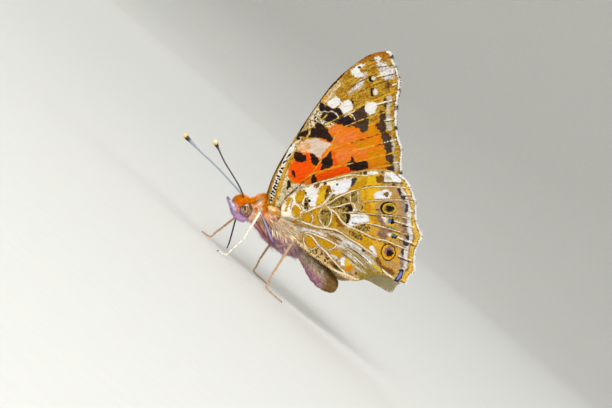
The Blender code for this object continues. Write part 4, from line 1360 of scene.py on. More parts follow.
        streak(0.8, 84, 53, 96, 44, 110, 37, 118, 33), streak(0.8, 97, 53, 108, 47.5, 120, 43, 132, 40),
        streak(0.8, 106, 22, 114, 20, 126, 20), streak(0.8, 112, 28, 124, 26.5, 134, 25),
        streak(0.8, 115, 39, 125, 36.2, 137, 33.6), streak(0.8, 117, 65.6, 125, 63.6, 138, 60.2),
    ]),
    # Painted highlight along the crests of the folds.
    ("fold_highlight", *LINEN, 0.0, 0.05, FORE_FOLDS),
    ("root_vein", *BROWN, 0.0, 0.04, [streak(1, 24, 159.5, 31, 153, 38, 147, 44, 141.5, 51, 136.3)]),
    ("costa_dark", *SOOT, 0.0, 0.04, [
        streak(1.6, 8, 154, 11, 143, 16, 130, 22.5, 119.5, 28, 109.5),
        streak(1.6, 28, 109.5, 36, 99, 41, 90, 46, 81, 51, 73, 56, 66, 60.5, 60, 66, 53, 71, 47, 76, 42,
            80, 37.5, 85, 32, 94, 24.5, 103, 18.5, 111, 15),
    ]),
    ("costa_rust", *RUST, 0.0, 0.04, [streak(1.2, 6.4, 160, 9, 145, 14.3, 130.5, 20.6, 119, 27, 108)]),
]
MARGIN_LAYERS = [
    ("margin_line", *BROWN, 0.0, 0.06, None),
    ("margin", *CHALK, 0.0, 0.05, None),
    ("margin_dark", *UMBER, 0.0, 0.1, None),
]
FORE_GROUND = two_tones(222, 176, 62, 162, 110, 18)
UPPER_ORANGE = two_tones(232, 128, 52, 214, 104, 38)
UPPER_LAYERS = [
    ("upper_brown", *two_tones(176, 124, 66, 136, 92, 50), 0.0, 0.4, None),
    ("orange", *UPPER_ORANGE, 0.0, 0.1, None),
    ("soot", *SOOT, 0.0, 0.07, None),
    ("umber", *SOOT, 0.0, 0.09, None),
    ("upper_black", *SOOT, 0.0, 0.12, None),
    # The upperside's costal strips take the pale peach, lighter than their own brown-orange: painted light
    # that lifts the shade between the wings.
    ("costal_peach", *COSTAL_PEACH, 0.0, 0.08, None),
    ("costal_white_and_highlight", *COSTAL_PEACH, 0.0, 0.08, None),
    ("white", *CHALK, 0.0, 0.09, None),
]
UPPER_BLACK = patch(
    60, 60, 76, 40, 92, 25, 110, 12, 134, 8, 144, 40, 142, 80, 144, 135, 134, 135, 132, 110, 126, 86, 108, 92,
    90, 88, 70, 82,
)
# Where the veins run out between the white scales of the fringe.
FORE_VEIN_ENDS = [
    (131.5, 17), (136.5, 26), (140, 37), (139.5, 50), (136.5, 67), (135, 88), (142.5, 110), (141, 133),
]
FORE_END_SIZE = 0.42  # of the dark spot at each
FORE_BROWN = 9.0  # how far the upperside is brown round the hinge
FORE_OUTLINE = (FORE_COSTA, FORE_SHOULDER, FORE_TIPS, FORE_INNER)
fore_place = (FORE_HINGE, forewing_spread, FORE_CORNER)
fore_shape = wing_shape(fore_place, FORE_OUTLINE, FORE_VEINS, FORE_FOLDS, fold_height=0.1, fold_width=0.45)
fore_edge, _, fore_flat, *_ = fore_shape
fore_line = fore_edge[margin_of(fore_edge, FORE_OUTLINE)]
fore_dark = [(spot, FORE_END_SIZE) for spot in on_wing(FORE_VEIN_ENDS, fore_place)]
fore_fields = {name: painted(fore_flat, shapes, fore_place) for name, *_, shapes in FORE_LAYERS}
fore_fields["upper_black"] = painted(fore_flat, [UPPER_BLACK], fore_place)
fore_fields["upper_brown"] = np.hypot(*fore_flat.T) - FORE_BROWN
fore_fields.update(margin_fields(fore_flat, fore_line, fore_dark))
fore_under = wing_paint(FORE_GROUND, FORE_LAYERS + MARGIN_LAYERS, speckle=0.42, vein_turn=33)
fore_upper = wing_paint(UPPER_ORANGE, UPPER_LAYERS, speckle=0.0, vein_turn=33)
fore_finishes = [finish("forewing_underside", fore_under), finish("forewing_upperside", fore_upper)]
wing_pair(
    "forewing", fore_place, fore_shape, fore_fields, fore_finishes,
    ((0.0, 0.0), (RIGHT_FOREWING_LAG, RIGHT_FOREWING_BACK)),
    [("fringe", fore_line, fore_dark, 61, (0.05, 0.3), FRINGE_TONES)],
)

# The hindwings: broad scaled membranes outside the forewings, marbled in ochre, olive and white
# between cream veins, with five eye spots. They bend in to their hinges under the forewings.
HIND_HINGE = (-2.05, 10.3)
HIND_CORNER = (280, 170)
RIGHT_HINDWING_DROP = 6.5
WING_LAYER = 1.1
REAR_CLOSE = 0.8
REAR_RANGE = (10.0, 23.0)
HIND_ROOT = (2.4, -1.0)
ROOT_BEND = (0.8, 3.2)
HIND_COSTA = [(0.5, -1.3), (-0.8, 0.5), (-1.7, 2.4), (-0.8, 5.6), (0.9, 8.5), (2.9, 11.3)]
HIND_SHOULDER = [(5.0, 13.9), (7.3, 16.1), (9.6, 17.3), (11.7, 17.6)]
HIND_TIPS = [(13.8, 17.1), (16.0, 15.9), (18.1, 13.7), (20.7, 12.3), (21.6, 9.5), (23.5, 7.2), (23.7, 4.4)]
HIND_INNER = [(21.5, 3.7), (18.8, 2.7), (16.7, 0.1), (14.7, -0.9), (11.5, -1.3), (8.0, -1.5), (3.6, -1.6)]
HIND_VEINS = [
    [(1.0, 0.5), (0.4, 4.5), (2.6, 9.5), (6.4, 14.0), (10.8, 16.9)],
    [(1.6, 0.3), (3.2, 4.6), (6.2, 10.6), (9.2, 14.3), (13.3, 16.8)],
    [(3.2, 4.6), (6.5, 8.4), (10.4, 12.3), (15.6, 15.4)],
    [(5.0, 6.6), (9.4, 9.0), (13.6, 11.6), (17.6, 13.4)],
    [(5.6, 5.6), (9.4, 6.9), (14.6, 9.5), (20.0, 12.0)],
    [(2.2, 0.6), (5.6, 4.2), (5.8, 6.8)],
    [(5.6, 4.2), (10.0, 5.7), (15.0, 7.5), (21.1, 9.4)],
    [(3.6, 2.0), (9.8, 4.4), (15.5, 5.0), (23.0, 6.9)],
    [(2.6, 0.2), (7.1, 1.5), (13.0, 2.8), (19.0, 3.5)],
]


def hindwing_spread(back, up):
    """The hindwing lies outside the forewing, bends in to its hinge and closes to the rear."""
    lain_over = forewing_spread(back, up) + WING_LAYER - REAR_CLOSE * ease(*REAR_RANGE, back)
    from_root = np.hypot(back - HIND_ROOT[0], up - HIND_ROOT[1])
    return HINGE_SPREAD + (lain_over - HINGE_SPREAD) * ease(*ROOT_BEND, from_root)


TAN = two_tones(218, 180, 104, 186, 144, 66)
AMBER = two_tones(226, 172, 22, 194, 136, 8)
LEMON = two_tones(242, 198, 44, 218, 162, 16)
BARK = two_tones(146, 108, 48, 110, 78, 32)
IVORY = two_tones(250, 240, 212, 230, 210, 168)
RIM_OCHRE = two_tones(242, 186, 66, 202, 144, 30)
OLIVE = two_tones(182, 154, 76, 146, 118, 50)
CHESTNUT = two_tones(150, 100, 34, 114, 72, 22)
FAWN = two_tones(214, 168, 100, 176, 132, 76)
PLUM = two_tones(168, 126, 100, 118, 88, 74)
RIM_GOLD = two_tones(255, 210, 84, 228, 172, 48)
PEARL = two_tones(254, 252, 252, 226, 224, 228)
SLATE = two_tones(78, 72, 74, 54, 46, 48)
SILVER = two_tones(202, 184, 136, 164, 140, 88)
DUSK = two_tones(178, 160, 150, 134, 118, 114)
REAR_TAN = two_tones(216, 180, 122, 170, 134, 82)
GILT = two_tones(226, 188, 124, 178, 142, 84)
REAR_BROWN = two_tones(190, 142, 88, 144, 102, 56)
BLACK = two_tones(26, 18, 16, 38, 28, 24)
COPPER = two_tones(226, 146, 22, 200, 118, 10)
SKY = two_tones(70, 130, 184, 52, 104, 160)
COBALT = two_tones(132, 146, 236, 96, 112, 206)
MAUVE = two_tones(170, 128, 142, 124, 92, 112)
HAIR_GOLD = shade(246, 190, 84)
HIND_FOLDS = [
    streak(1.1, 104, 11, 114, 11, 123, 11), streak(1.1, 121, 24, 134, 24.5),
    streak(1.1, 128, 40, 137, 42.3), streak(1.1, 114, 50.5, 122, 53.2, 139, 59),
    streak(1.1, 117, 67, 124, 69.7, 137, 75), streak(1.1, 116, 84, 122, 87, 135, 91.3),
    streak(1.1, 119, 111.5, 126, 115),
]
CREAM_VEINS = [
    streak(1.5, 23, 43, 28, 41, 33, 38.5, 39, 36.5, 45, 35),
    streak(1.1, 45, 36.5, 41, 39.5, 39, 44, 39.5, 49, 42, 54, 45, 56.8, 48, 56, 50.7, 51, 51.7, 45,
        50.7, 40, 47, 37), streak(1.2, 29, 42, 32.5, 46, 32.5, 50, 31, 54),
    streak(1.6, 16, 50, 23, 52, 30, 54.5, 38, 57, 46, 58, 55, 59.5, 62, 63),
    streak(1.4, 62, 63, 70, 69, 78, 73.5, 84, 78, 90, 82, 97, 87),
    streak(1.5, 45, 35, 50, 39, 56, 43, 60, 49, 64, 53.5, 70, 57, 75, 59),
    streak(1.2, 75, 59, 82, 62, 90, 66, 98, 69, 107, 71, 121, 77, 137, 83),
    streak(1.1, 45, 35, 49, 37, 54, 37, 60, 36, 65, 34, 72, 33, 75, 37, 75, 41),
    streak(1.2, 45, 35, 49, 33, 55, 29, 61, 25.5, 67, 23, 72, 21, 80, 19),
    streak(1.1, 80, 19, 90, 17, 105, 16.5, 120, 17, 132.5, 19),
    streak(1, 45, 34.5, 48, 29, 51.5, 23.5, 54, 19),
    streak(0.7, 76, 32, 84, 32, 95, 30.5, 122, 30, 136.5, 33),
    streak(0.7, 61, 42.5, 72, 42.5, 90, 44, 111, 45.5, 124, 47.5, 138, 51),
    streak(0.8, 67, 58, 72, 56, 82, 53.5, 90, 53.5, 105, 57.5, 120, 62, 134, 66.5),
    streak(1.3, 24, 63.3, 31, 66, 35.5, 71, 39.5, 76, 46, 82, 52, 89, 58, 95.5, 64, 101.5, 73, 108.3),
    streak(1.4, 24, 62, 32, 63.3, 40, 66.6, 48, 70, 56, 74.5, 64, 78.4),
    streak(1.1, 64, 78.4, 72, 85, 80, 92, 86, 98), streak(1, 24, 66, 23.6, 72, 27, 77.6, 32, 79.3, 36, 77),
    streak(1.2, 46, 80, 51, 79.6, 55, 77, 56, 74.5),
    streak(1.8, 48.5, 97, 56, 101, 64, 104, 72, 107, 78, 110), streak(1, 17, 70.5, 23, 75.5, 29, 82),
    streak(0.8, 17, 33.5, 22, 37, 23, 42), streak(0.8, 12, 29, 11, 35, 12, 42),
    streak(0.9, 70.3, 22, 70, 27, 71, 32), streak(1.9, 102, 99, 106, 103, 111, 106.5, 114.5, 109),
    streak(0.9, 78, 20.5, 78, 26, 78.4, 31.5),
    streak(1.1, 10, 27, 20, 19, 32, 14, 42, 11.5, 56, 8, 70, 5, 84, 5.5, 92, 5),
]
HIND_LAYERS = [
    ("root_white", *LINEN, 0.0, 0.16, [
        patch(4, 33, 12, 23, 23, 17, 33, 14, 42, 13, 55, 11, 72, 8, 72, 16, 65, 22, 53, 26, 45, 34, 30, 39,
            22, 43, 17, 49, 4, 47, 0, 40),
    ]),
    ("ochre_rim", *RIM_GOLD, 0.3, 0.08, [
        streak(5.4, 114, 6, 123, 13, 129, 23, 132.5, 33, 133.6, 45, 134.3, 58, 137.5, 68, 132.5, 77,
            131, 87, 131.3, 98, 126, 107.5), patch(121, 109, 126, 102, 132, 102, 131, 108, 125, 112),
    ]),
    ("gold_band", *LEMON, 0.15, 0.45, [
        patch(78, 6, 100, 5, 99, 26, 97, 42, 92, 56, 82, 56, 83, 36, 80, 20),
    ]),
    ("mauve_band", *FAWN, 0.15, 0.45, [
        patch(108, 16, 120, 17, 124, 34, 124, 52, 123, 70, 118, 66, 119, 44, 114, 30),
    ]),
    ("warm_band", *RIM_OCHRE, 0.15, 0.45, [
        patch(72, 56, 92, 58, 112, 70, 120, 86, 116, 100, 100, 92, 86, 80, 70, 68),
    ]),
    ("fawn", *FAWN, 0.1, 0.3, [
        patch(103, 17.5, 117, 17.5, 120, 23, 122, 30, 114, 30.5, 108, 29.5, 112, 25, 109, 20.5, 103, 19),
        patch(96, 33, 102, 32.5, 101, 42, 96, 42.5), patch(114, 33, 124, 33.5, 125, 39, 117, 39, 116, 35),
        patch(103, 89, 111, 91, 119, 94, 116, 99, 108, 96),
    ]),
    ("rear_tan", *REAR_TAN, 0.25, 0.35, [
        patch(18, 53, 32, 57, 48, 59, 62, 65, 78, 75, 92, 84, 104, 100, 106, 110, 82, 112, 60, 106, 42, 98,
            26, 82, 14, 70),
    ]),
    ("silver", *SILVER, 0.35, 0.3, [
        patch(64, 70, 76, 75, 88, 84, 102, 98, 92, 102, 76, 98, 64, 84, 56, 74),
    ]),
    ("fold_pale", *MILK, 0.12, 0.2, [
        streak(3.4, 19, 59, 25, 59.4, 31, 60.8, 38, 63, 46, 66),
        patch(59, 65.5, 66, 69, 74, 73.5, 81, 78, 82, 83.5, 75, 83, 68, 78.5, 62, 73),
        patch(38, 73, 41, 77, 38.5, 77.5, 36.5, 75), patch(57, 73.5, 63, 75, 65, 78.5, 59, 78, 55, 76),
        streak(2, 67, 83, 73, 88, 78, 93), streak(2.6, 51, 85, 55, 87, 59, 91),
    ]),
    ("bark", *GILT, 0.9, 0.15, [
        patch(29, 81, 33, 78.5, 39, 77, 43, 80, 48, 86, 50, 91, 48, 96, 41, 96, 34, 89),
    ]),
    ("rear_browns_and_shadow", *REAR_BROWN, 0.2, 0.12, [
        streak(2.4, 24, 55.8, 32, 58.2, 40, 60.2, 49, 62),
        patch(47, 61.5, 53, 61.5, 58, 64, 60.5, 68, 61, 73, 56, 72.5, 51, 69, 48, 65),
        # The streak from (57, 97.6) is painted shadow beside the lower cream vein.
        streak(1.4, 65, 75.8, 72, 79.8, 80, 85.5), streak(1.3, 57, 97.6, 61, 101, 67, 105),
        streak(3, 91, 104.5, 97, 106, 104, 105), patch(80, 97, 85, 96.5, 87, 100, 83, 102),
        streak(1.1, 49, 82, 46.5, 84, 50, 88), streak(1.2, 40, 78, 43, 82, 46, 86.5),
    ]),
    ("olive_fold", *OLIVE, 0.3, 0.3, [
        patch(79, 101, 86, 98, 96, 101, 106, 106, 112, 109, 104, 111, 92, 111.5, 80, 109),
    ]),
    ("amber", *AMBER, 0.25, 0.12, [
        patch(16, 22, 23, 19.5, 26, 22, 25, 27, 23, 31, 22, 36, 17, 33, 15, 30),
        patch(6.5, 29, 10, 27.5, 12, 29, 10, 33, 8, 37, 7, 41, 4.5, 41, 6, 35),
        patch(12.5, 36, 15, 35, 19, 38, 21, 40, 20, 45, 17, 48, 13.5, 46, 11.5, 42),
        patch(41, 15, 47, 15, 51, 17, 50, 22, 48, 27, 45, 31, 41, 35, 36.5, 36, 35.5, 32, 37.5, 27,
            38.5, 21), patch(22, 45, 26, 43, 29, 44, 32, 47, 31, 52, 26, 53, 22, 49),
        patch(31, 41, 35, 39, 40, 38, 39.5, 42, 38, 46, 39, 52, 40, 54, 36, 55, 33, 54, 34.5, 48, 33, 44),
        patch(52, 42, 56, 44, 59, 49, 63, 54, 63, 58, 56, 58, 51, 58, 49, 56, 51, 50, 52, 46),
        patch(70, 17, 75, 14, 82, 10, 87, 6.5, 89, 9, 86, 14, 84, 18, 76, 20, 70, 20),
        patch(85, 33, 90, 33, 90.5, 43, 85, 43),
        patch(25.5, 67, 31, 66, 35.5, 70, 36, 75, 32.5, 78, 27.5, 76.5, 24.8, 71.5),
        patch(35.5, 66, 40, 66.8, 48, 70.5, 54, 75, 53, 77.5, 46, 78, 41, 74.5, 37.5, 70.5),
        patch(50.5, 81.5, 55, 79.5, 59, 80.3, 62, 84, 61, 88, 56, 85, 51, 84),
        patch(82, 66, 89, 69, 93, 75, 90, 80, 84, 77, 80, 71),
        patch(92, 44.5, 98, 46, 100, 52, 104, 56, 96, 54, 91, 50),
    ]),
    ("lemon", *LEMON, 0.0, 0.25, [
        patch(88, 7, 94, 6, 97, 10, 96, 16, 90, 16.5, 87.5, 12),
        patch(87, 20, 96, 19, 96, 29, 90, 31, 85.5, 29),
        patch(40, 22, 45, 20, 46, 26, 41, 33, 37, 33, 38, 27),
        patch(64, 90, 67, 88.5, 72, 93, 73, 98, 68, 99, 64.5, 96),
        streak(2.8, 87.5, 90, 95, 96, 101.5, 101.2), streak(3, 6, 52.5, 11, 50.5, 17, 50),
    ]),
    ("copper", *COPPER, 0.0, 0.22, [
        streak(3, 7, 54, 12, 52.5, 18, 49.5), patch(65, 98, 69, 95.5, 73, 95, 73, 99, 69, 101.8, 65.5, 101),
        streak(2.6, 85.5, 20, 86.3, 26, 84.5, 30), disc(63, 38, 2.2, 1.2),
        patch(31, 70, 34, 70, 35, 73.5, 32.5, 76, 31, 73.5), patch(88, 33.5, 91, 34, 91, 42, 88.5, 42),
    ]),
    ("chestnut_and_shade", *CHESTNUT, 0.2, 0.12, [
        patch(35, 18, 34, 15, 37, 12.5, 40, 13, 40, 17, 37, 18.5),
        patch(46.5, 15.5, 51, 17, 50, 22, 48, 27, 45.5, 30.5, 45, 25, 47, 20),
        patch(50, 92.5, 53, 91, 56, 93.5, 58, 96.5, 56, 98.7, 52, 97),
        patch(58, 97.5, 62, 100, 67, 104, 61, 103, 57, 100),
        patch(96, 86, 99, 88, 102, 94, 106, 101, 100, 97, 95, 91),
        # The patch from (103, 96) is painted shade along a cream vein.
        patch(103, 96, 112, 100, 114, 105, 108, 105.5, 102, 101),
        patch(97, 6.5, 104, 6, 104.5, 12.5, 98, 13), patch(55, 44, 59, 49, 63, 55, 59, 56.5, 55, 51),
    ]),
    ("olive", *OLIVE, 0.85, 0.08, [
        patch(24, 29, 28, 27, 31, 29, 31.5, 33, 32.5, 36, 28, 39, 24, 39, 24, 34),
        patch(50, 32, 55, 29.5, 61, 28, 66, 28.5, 68.5, 31, 68, 33.5, 60, 34.5, 54, 35.5, 50.5, 35.5),
        disc(45.7, 46.5, 4.9, 8.6), patch(62, 43, 69, 43.5, 70, 47, 68, 52, 65, 54, 61.5, 50, 59.5, 45.5),
        patch(71, 23, 76, 21.5, 77, 27, 76, 31, 72, 31, 70.5, 27),
        patch(55, 37, 61, 35.5, 67, 34, 71.5, 35, 72.5, 38, 71, 42, 64, 42, 60, 40, 56, 39),
        patch(49, 30, 52, 24.5, 55.5, 22.5, 55, 27, 51.5, 31),
        patch(71, 58, 78, 55.5, 86, 55.5, 88, 59, 85, 62, 77, 60),
        patch(70, 61, 76, 62, 81, 66, 81, 70, 74, 68, 69, 64),
    ]),
    ("pearl_shade", *DUSK, 0.1, 0.3, [
        streak(4.4, 116, 14, 121, 24, 124, 33, 125, 44, 125, 58, 125.6, 66, 123.4, 77, 122.4, 86, 121.6, 96,
            119.6, 101),
    ]),
    ("rim_shade", *BARK, 0.0, 0.12, [
        streak(1.3, 120, 13.5, 126.6, 23, 130.4, 33, 131.6, 45, 132, 58, 134, 68, 129.4, 77, 128.6, 87,
            128.4, 97, 124.4, 104),
    ]),
    ("pearl_band", *MILK, 0.15, 0.12, [
        streak(5, 119, 15, 124.5, 24, 127.5, 33, 128.8, 44, 129.3, 58, 130.5, 68, 126.6, 77, 125.5, 86,
            124.5, 96, 122, 102, 120, 107),
    ]),
    ("pearl", *PEARL, 0.0, 0.1, [
        patch(53, 14, 60, 11, 70, 8.5, 72, 11, 70, 16, 67, 20, 65, 23, 57, 24, 52, 23, 53, 18),
        patch(71, 44, 78, 44, 85, 44, 88, 47, 89, 51, 86, 53, 78, 55, 72, 58, 67, 58, 66, 55, 69, 51,
            71, 47), patch(72.5, 34, 75, 34, 76.5, 38, 75.5, 42, 72.8, 42, 73.8, 38),
        patch(90, 77, 93, 77, 97, 85, 94, 86.5, 90, 82),
        patch(60, 94, 62.5, 87, 65, 87.5, 64.5, 92, 63.5, 96), streak(3, 82, 85, 86.5, 89, 91, 94),
        patch(93.5, 24, 98, 21, 105, 20, 109, 20.8, 111.5, 25, 108, 28.6, 96, 28.4),
        patch(105, 3, 112, 2.5, 120, 8, 120, 13, 112, 11.5, 105, 10),
        patch(100, 47, 104, 46.5, 107, 51, 107, 55, 103, 52), patch(107, 62.5, 111, 63, 112, 66.5, 109, 67),
        patch(30, 19, 35, 19, 34.5, 27, 35, 34, 30.5, 36, 29, 29, 28, 23),
        patch(87, 2, 96, 1.5, 97, 4, 88, 5),
    ]),
    ("greys", *ASH, 0.0, 0.1, [
        streak(1.6, 72, 47.5, 77, 46.6, 83, 47), patch(105.5, 6, 111, 6.5, 112, 10.5, 106, 11),
        streak(2.4, 72, 76, 81, 82, 89, 88, 96, 95), streak(2.2, 58, 71, 68, 76, 76, 81),
        streak(1.8, 70, 92, 78, 98, 86, 103), streak(1.6, 38, 60, 48, 62.5, 58, 66, 67, 71),
        patch(1, 48, 8, 47, 16, 49.5, 8, 50.5),
    ]),
    ("plum", *PLUM, 0.0, 0.3, [
        patch(99, 56, 106, 55.5, 114, 59, 110, 63, 102, 62),
        patch(96.5, 44.5, 100, 45, 104, 50, 106, 55, 101, 54, 97.5, 49),
        patch(97, 62, 103, 62, 108, 66, 105, 69.5, 99, 67), patch(123, 49, 126.5, 49, 127, 52, 123.5, 52),
        patch(122, 56, 125.5, 56, 126, 61, 122.5, 61.5), patch(120.5, 92, 123, 92, 123.5, 97, 121, 97),
    ]),
    ("slate", *SLATE, 0.0, 0.07, [
        patch(117.5, 18, 119.5, 18, 121.5, 23.5, 120, 25.5, 118, 22),
        patch(120.5, 25.8, 124.5, 26, 125, 30, 122, 30.5),
        patch(125, 34, 127.5, 34, 128, 40.5, 125.5, 42.5), streak(1.7, 123, 54, 125.5, 54.8, 128.5, 56),
        patch(125.6, 64, 129, 64.5, 129, 70, 126, 69.5),
        patch(123, 71.5, 128.6, 72.5, 128.4, 76, 123.5, 75),
        patch(121.3, 79, 123.8, 79, 123.8, 85, 121.8, 85.5), streak(1.8, 120.6, 88.4, 125, 89.8),
        streak(1.1, 104, 12.6, 111, 12.8, 117, 12.8), patch(112, 14, 115.5, 14, 116, 15.8, 112.5, 15.8),
        streak(1.3, 71, 52, 76, 54.2, 88, 54.4), patch(72, 9, 76, 7.5, 77, 10, 74, 14, 72, 17, 70.5, 15),
        disc(77, 4.5, 1.5, 1.4), disc(85, 2.8, 2.3, 1.8), disc(81, 2.5, 1, 1), disc(57, 14.5, 1.2, 1.6),
        disc(44.8, 13, 1.7, 2.1), disc(102, 2.3, 1.3, 1), disc(48, 89, 1.3, 1.2), disc(44.5, 91, 1.4, 1.2),
        disc(56.6, 90, 1, 1), disc(76.3, 103.3, 1.4, 1.3), disc(83.5, 80.3, 2.1, 1.7),
        streak(1.1, 81, 55.5, 88.5, 56.5, 89, 61), streak(1, 81.5, 34, 82.2, 37.5, 81, 40.5),
        streak(1, 76.4, 22, 77.4, 27, 76.5, 31), streak(1, 80, 70.5, 81.3, 67, 80.5, 64),
    ]),
    ("ink", *BLACK, 0.0, 0.07, [
        patch(65, 35, 71.5, 35, 72.7, 38.5, 71, 42.3, 66.5, 42, 68, 38),
        patch(66, 44, 69.8, 44, 70.3, 48, 68, 52.6, 65.5, 54, 66.5, 49), disc(59, 37.6, 2.2, 1.3),
        disc(26.5, 34, 1.6, 1.8), disc(29.5, 30.5, 1.3, 1.2), disc(24.6, 37.8, 1, 1),
        streak(1.3, 52, 29.5, 58, 27.8, 65, 27.9, 68.6, 30.6), patch(53, 93, 57.6, 95.5, 57, 98.3, 55, 97),
        streak(0.9, 23, 20.5, 26.5, 24, 25.5, 28.5), disc(45.5, 25.5, 0.9, 1.5), disc(47.5, 20.5, 0.9, 1.4),
        streak(0.9, 62, 58, 64.5, 55.5),
    ]),
    ("spot_black", *BLACK, 0.0, 0.03, [disc(108.3, 82.1, 7.5, 8.8), disc(108.3, 38.3, 8.3, 6.8)]),
    ("spot_yellow", *LEMON, 0.0, 0.03, [
        disc(108.3, 82.1, 6.4, 7.6), disc(109.4, 38.5, 7, 5.4), disc(111, 51.5, 4.8, 4.2),
        disc(114.6, 66.3, 4.2, 3.9),
    ]),
    ("spot_copper", *COPPER, 0.0, 0.12, [disc(108.6, 82.2, 4.9, 5.9)]),
    ("spot_brown", *BARK, 0.0, 0.08, [disc(106.3, 24.2, 2.9, 2.6)]),
    ("spot_olive", *OLIVE, 0.0, 0.05, [disc(109.5, 38.5, 5.7, 4.6)]),
    ("spot_lilac", *MAUVE, 0.0, 0.06, [disc(108.6, 81.4, 4, 4.7)]),
    ("spot_core", *BLACK, 0.0, 0.1, [
        disc(109.8, 82.8, 3.2, 3.6), disc(109.8, 38.6, 3.8, 3.5), disc(111.8, 51, 3.2, 2.9),
        disc(114.5, 66.4, 2.7, 2.7),
        patch(114, 111, 117, 105, 120, 100, 123.4, 100, 123.4, 103, 120, 110, 116, 112.5),
    ]),
    ("spot_blue", *SKY, 0.0, 0.06, [disc(109.6, 50.6, 1.9, 2.3), disc(114.3, 65.6, 1.8, 1.5)]),
    ("tail_blue", *COBALT, 0.0, 0.05, [
        patch(116.5, 109.5, 118.7, 104.5, 121.2, 101.2, 122, 103, 119.3, 109),
    ]),
    ("thin_browns", *BROWN, 0.0, 0.04, [
        streak(0.8, 76, 73.8, 90, 81.5), streak(0.8, 66, 76, 76, 82, 86, 90, 92, 96),
        streak(0.8, 50, 66.5, 62, 71, 72, 78), streak(0.8, 60, 82, 72, 91, 82, 100),
        streak(0.7, 76, 61, 88, 67.5, 100, 71.5, 118, 78.6), streak(0.7, 92, 45.6, 111, 47.2, 124, 49.4),
        streak(0.7, 104, 58.8, 120, 63.6, 132, 67.6), streak(0.8, 40, 59, 54, 61, 62, 64.8),
        streak(0.9, 22, 44.6, 28, 42.8, 35, 39.8),
    ]),
    # Painted shadow: a dark rim along each cream vein.
    ("vein_shadow_rims", *BARK, 0.0, 0.1, [(kind, pixels, width + 1.2) for kind, pixels, width in CREAM_VEINS]),
    ("cream_veins", *IVORY, 0.0, 0.035, CREAM_VEINS),
    # Painted shade just under each fold.
    ("fold_shade", *SLATE, 0.0, 0.05, [
        streak(1, 104, 12.8, 123, 13), streak(1, 122, 26.2, 133, 26.4),
        streak(1.2, 115, 52.3, 122, 55, 131, 57.6), streak(1.3, 119, 69.6, 128, 73, 136, 76.8),
        streak(1.3, 118, 86.8, 122, 89, 131, 92.4), streak(0.7, 92, 39.8, 101, 39.6),
    ]),
    # Painted highlight along the crests of the folds.
    ("fold_highlight", *LINEN, 0.0, 0.05, HIND_FOLDS),
]
UPPER_DOTS = [
    disc(108, 24, 3.5, 3), disc(108, 38.5, 4, 3.5), disc(110, 51, 3.5, 3), disc(113, 66, 3.5, 3),
    disc(108, 82, 4, 4),
]
HIND_UPPER_LAYERS = [
    ("upper_brown", *two_tones(120, 82, 46, 92, 62, 36), 0.0, 0.4, None),
    # Painted light: the fold is paler than the upperside's own olive-brown, to lift the shade it lies in.
    ("upper_fold_fill_light", *two_tones(218, 204, 160, 180, 164, 118), 0.0, 0.5, None),
    ("upper_dots", *SOOT, 0.0, 0.05, None),
    ("slate", *SOOT, 0.0, 0.07, None),
]
HIND_VEIN_ENDS = [(132.5, 19), (136.5, 33), (138, 51), (143, 67), (137, 84), (136, 104)]
HIND_END_SIZE = 0.38
HIND_BROWN = 8.0
UPPER_FOLD = 7.5  # below this height the upperside's fold is painted pale, as painted light that lifts the shade it lies in
HIND_OUTLINE = (HIND_COSTA, HIND_SHOULDER, HIND_TIPS, HIND_INNER)
hind_place = (HIND_HINGE, hindwing_spread, HIND_CORNER)
hind_shape = wing_shape(hind_place, HIND_OUTLINE, HIND_VEINS, HIND_FOLDS, fold_height=0.14, fold_width=0.5)
hind_edge, _, hind_flat, *_ = hind_shape
hind_line = hind_edge[margin_of(hind_edge, HIND_OUTLINE)]
inner_first = int(np.argmin(np.hypot(*(hind_edge - HIND_INNER[2]).T)))
hind_dark = [(spot, HIND_END_SIZE) for spot in on_wing(HIND_VEIN_ENDS, hind_place)]
hind_fields = {name: painted(hind_flat, shapes, hind_place) for name, *_, shapes in HIND_LAYERS}
hind_fields["upper_dots"] = painted(hind_flat, UPPER_DOTS, hind_place)
hind_fields["upper_brown"] = np.hypot(*hind_flat.T) - HIND_BROWN
hind_fields["upper_fold_fill_light"] = hind_flat[:, 1] - UPPER_FOLD
hind_fields.update(margin_fields(hind_flat, hind_line, hind_dark))
hind_under = wing_paint(TAN, HIND_LAYERS + MARGIN_LAYERS, speckle=0.3, vein_turn=68)
hind_upper = wing_paint(UPPER_ORANGE, HIND_UPPER_LAYERS, speckle=0.0, vein_turn=68)
hind_finishes = [finish("hindwing_underside", hind_under), finish("hindwing_upperside", hind_upper)]
wing_pair(
    "hindwing", hind_place, hind_shape, hind_fields, hind_finishes, ((0.0, 0.0), (RIGHT_HINDWING_DROP, 0.0)),
    [
        ("fringe", hind_line, hind_dark, 71, (0.55, 0.3), FRINGE_TONES),
        ("inner_fringe", hind_edge[inner_first:], [], 75, (0.55, 0.35), (CREAM_FUR, HAIR_GOLD)),
    ],
)

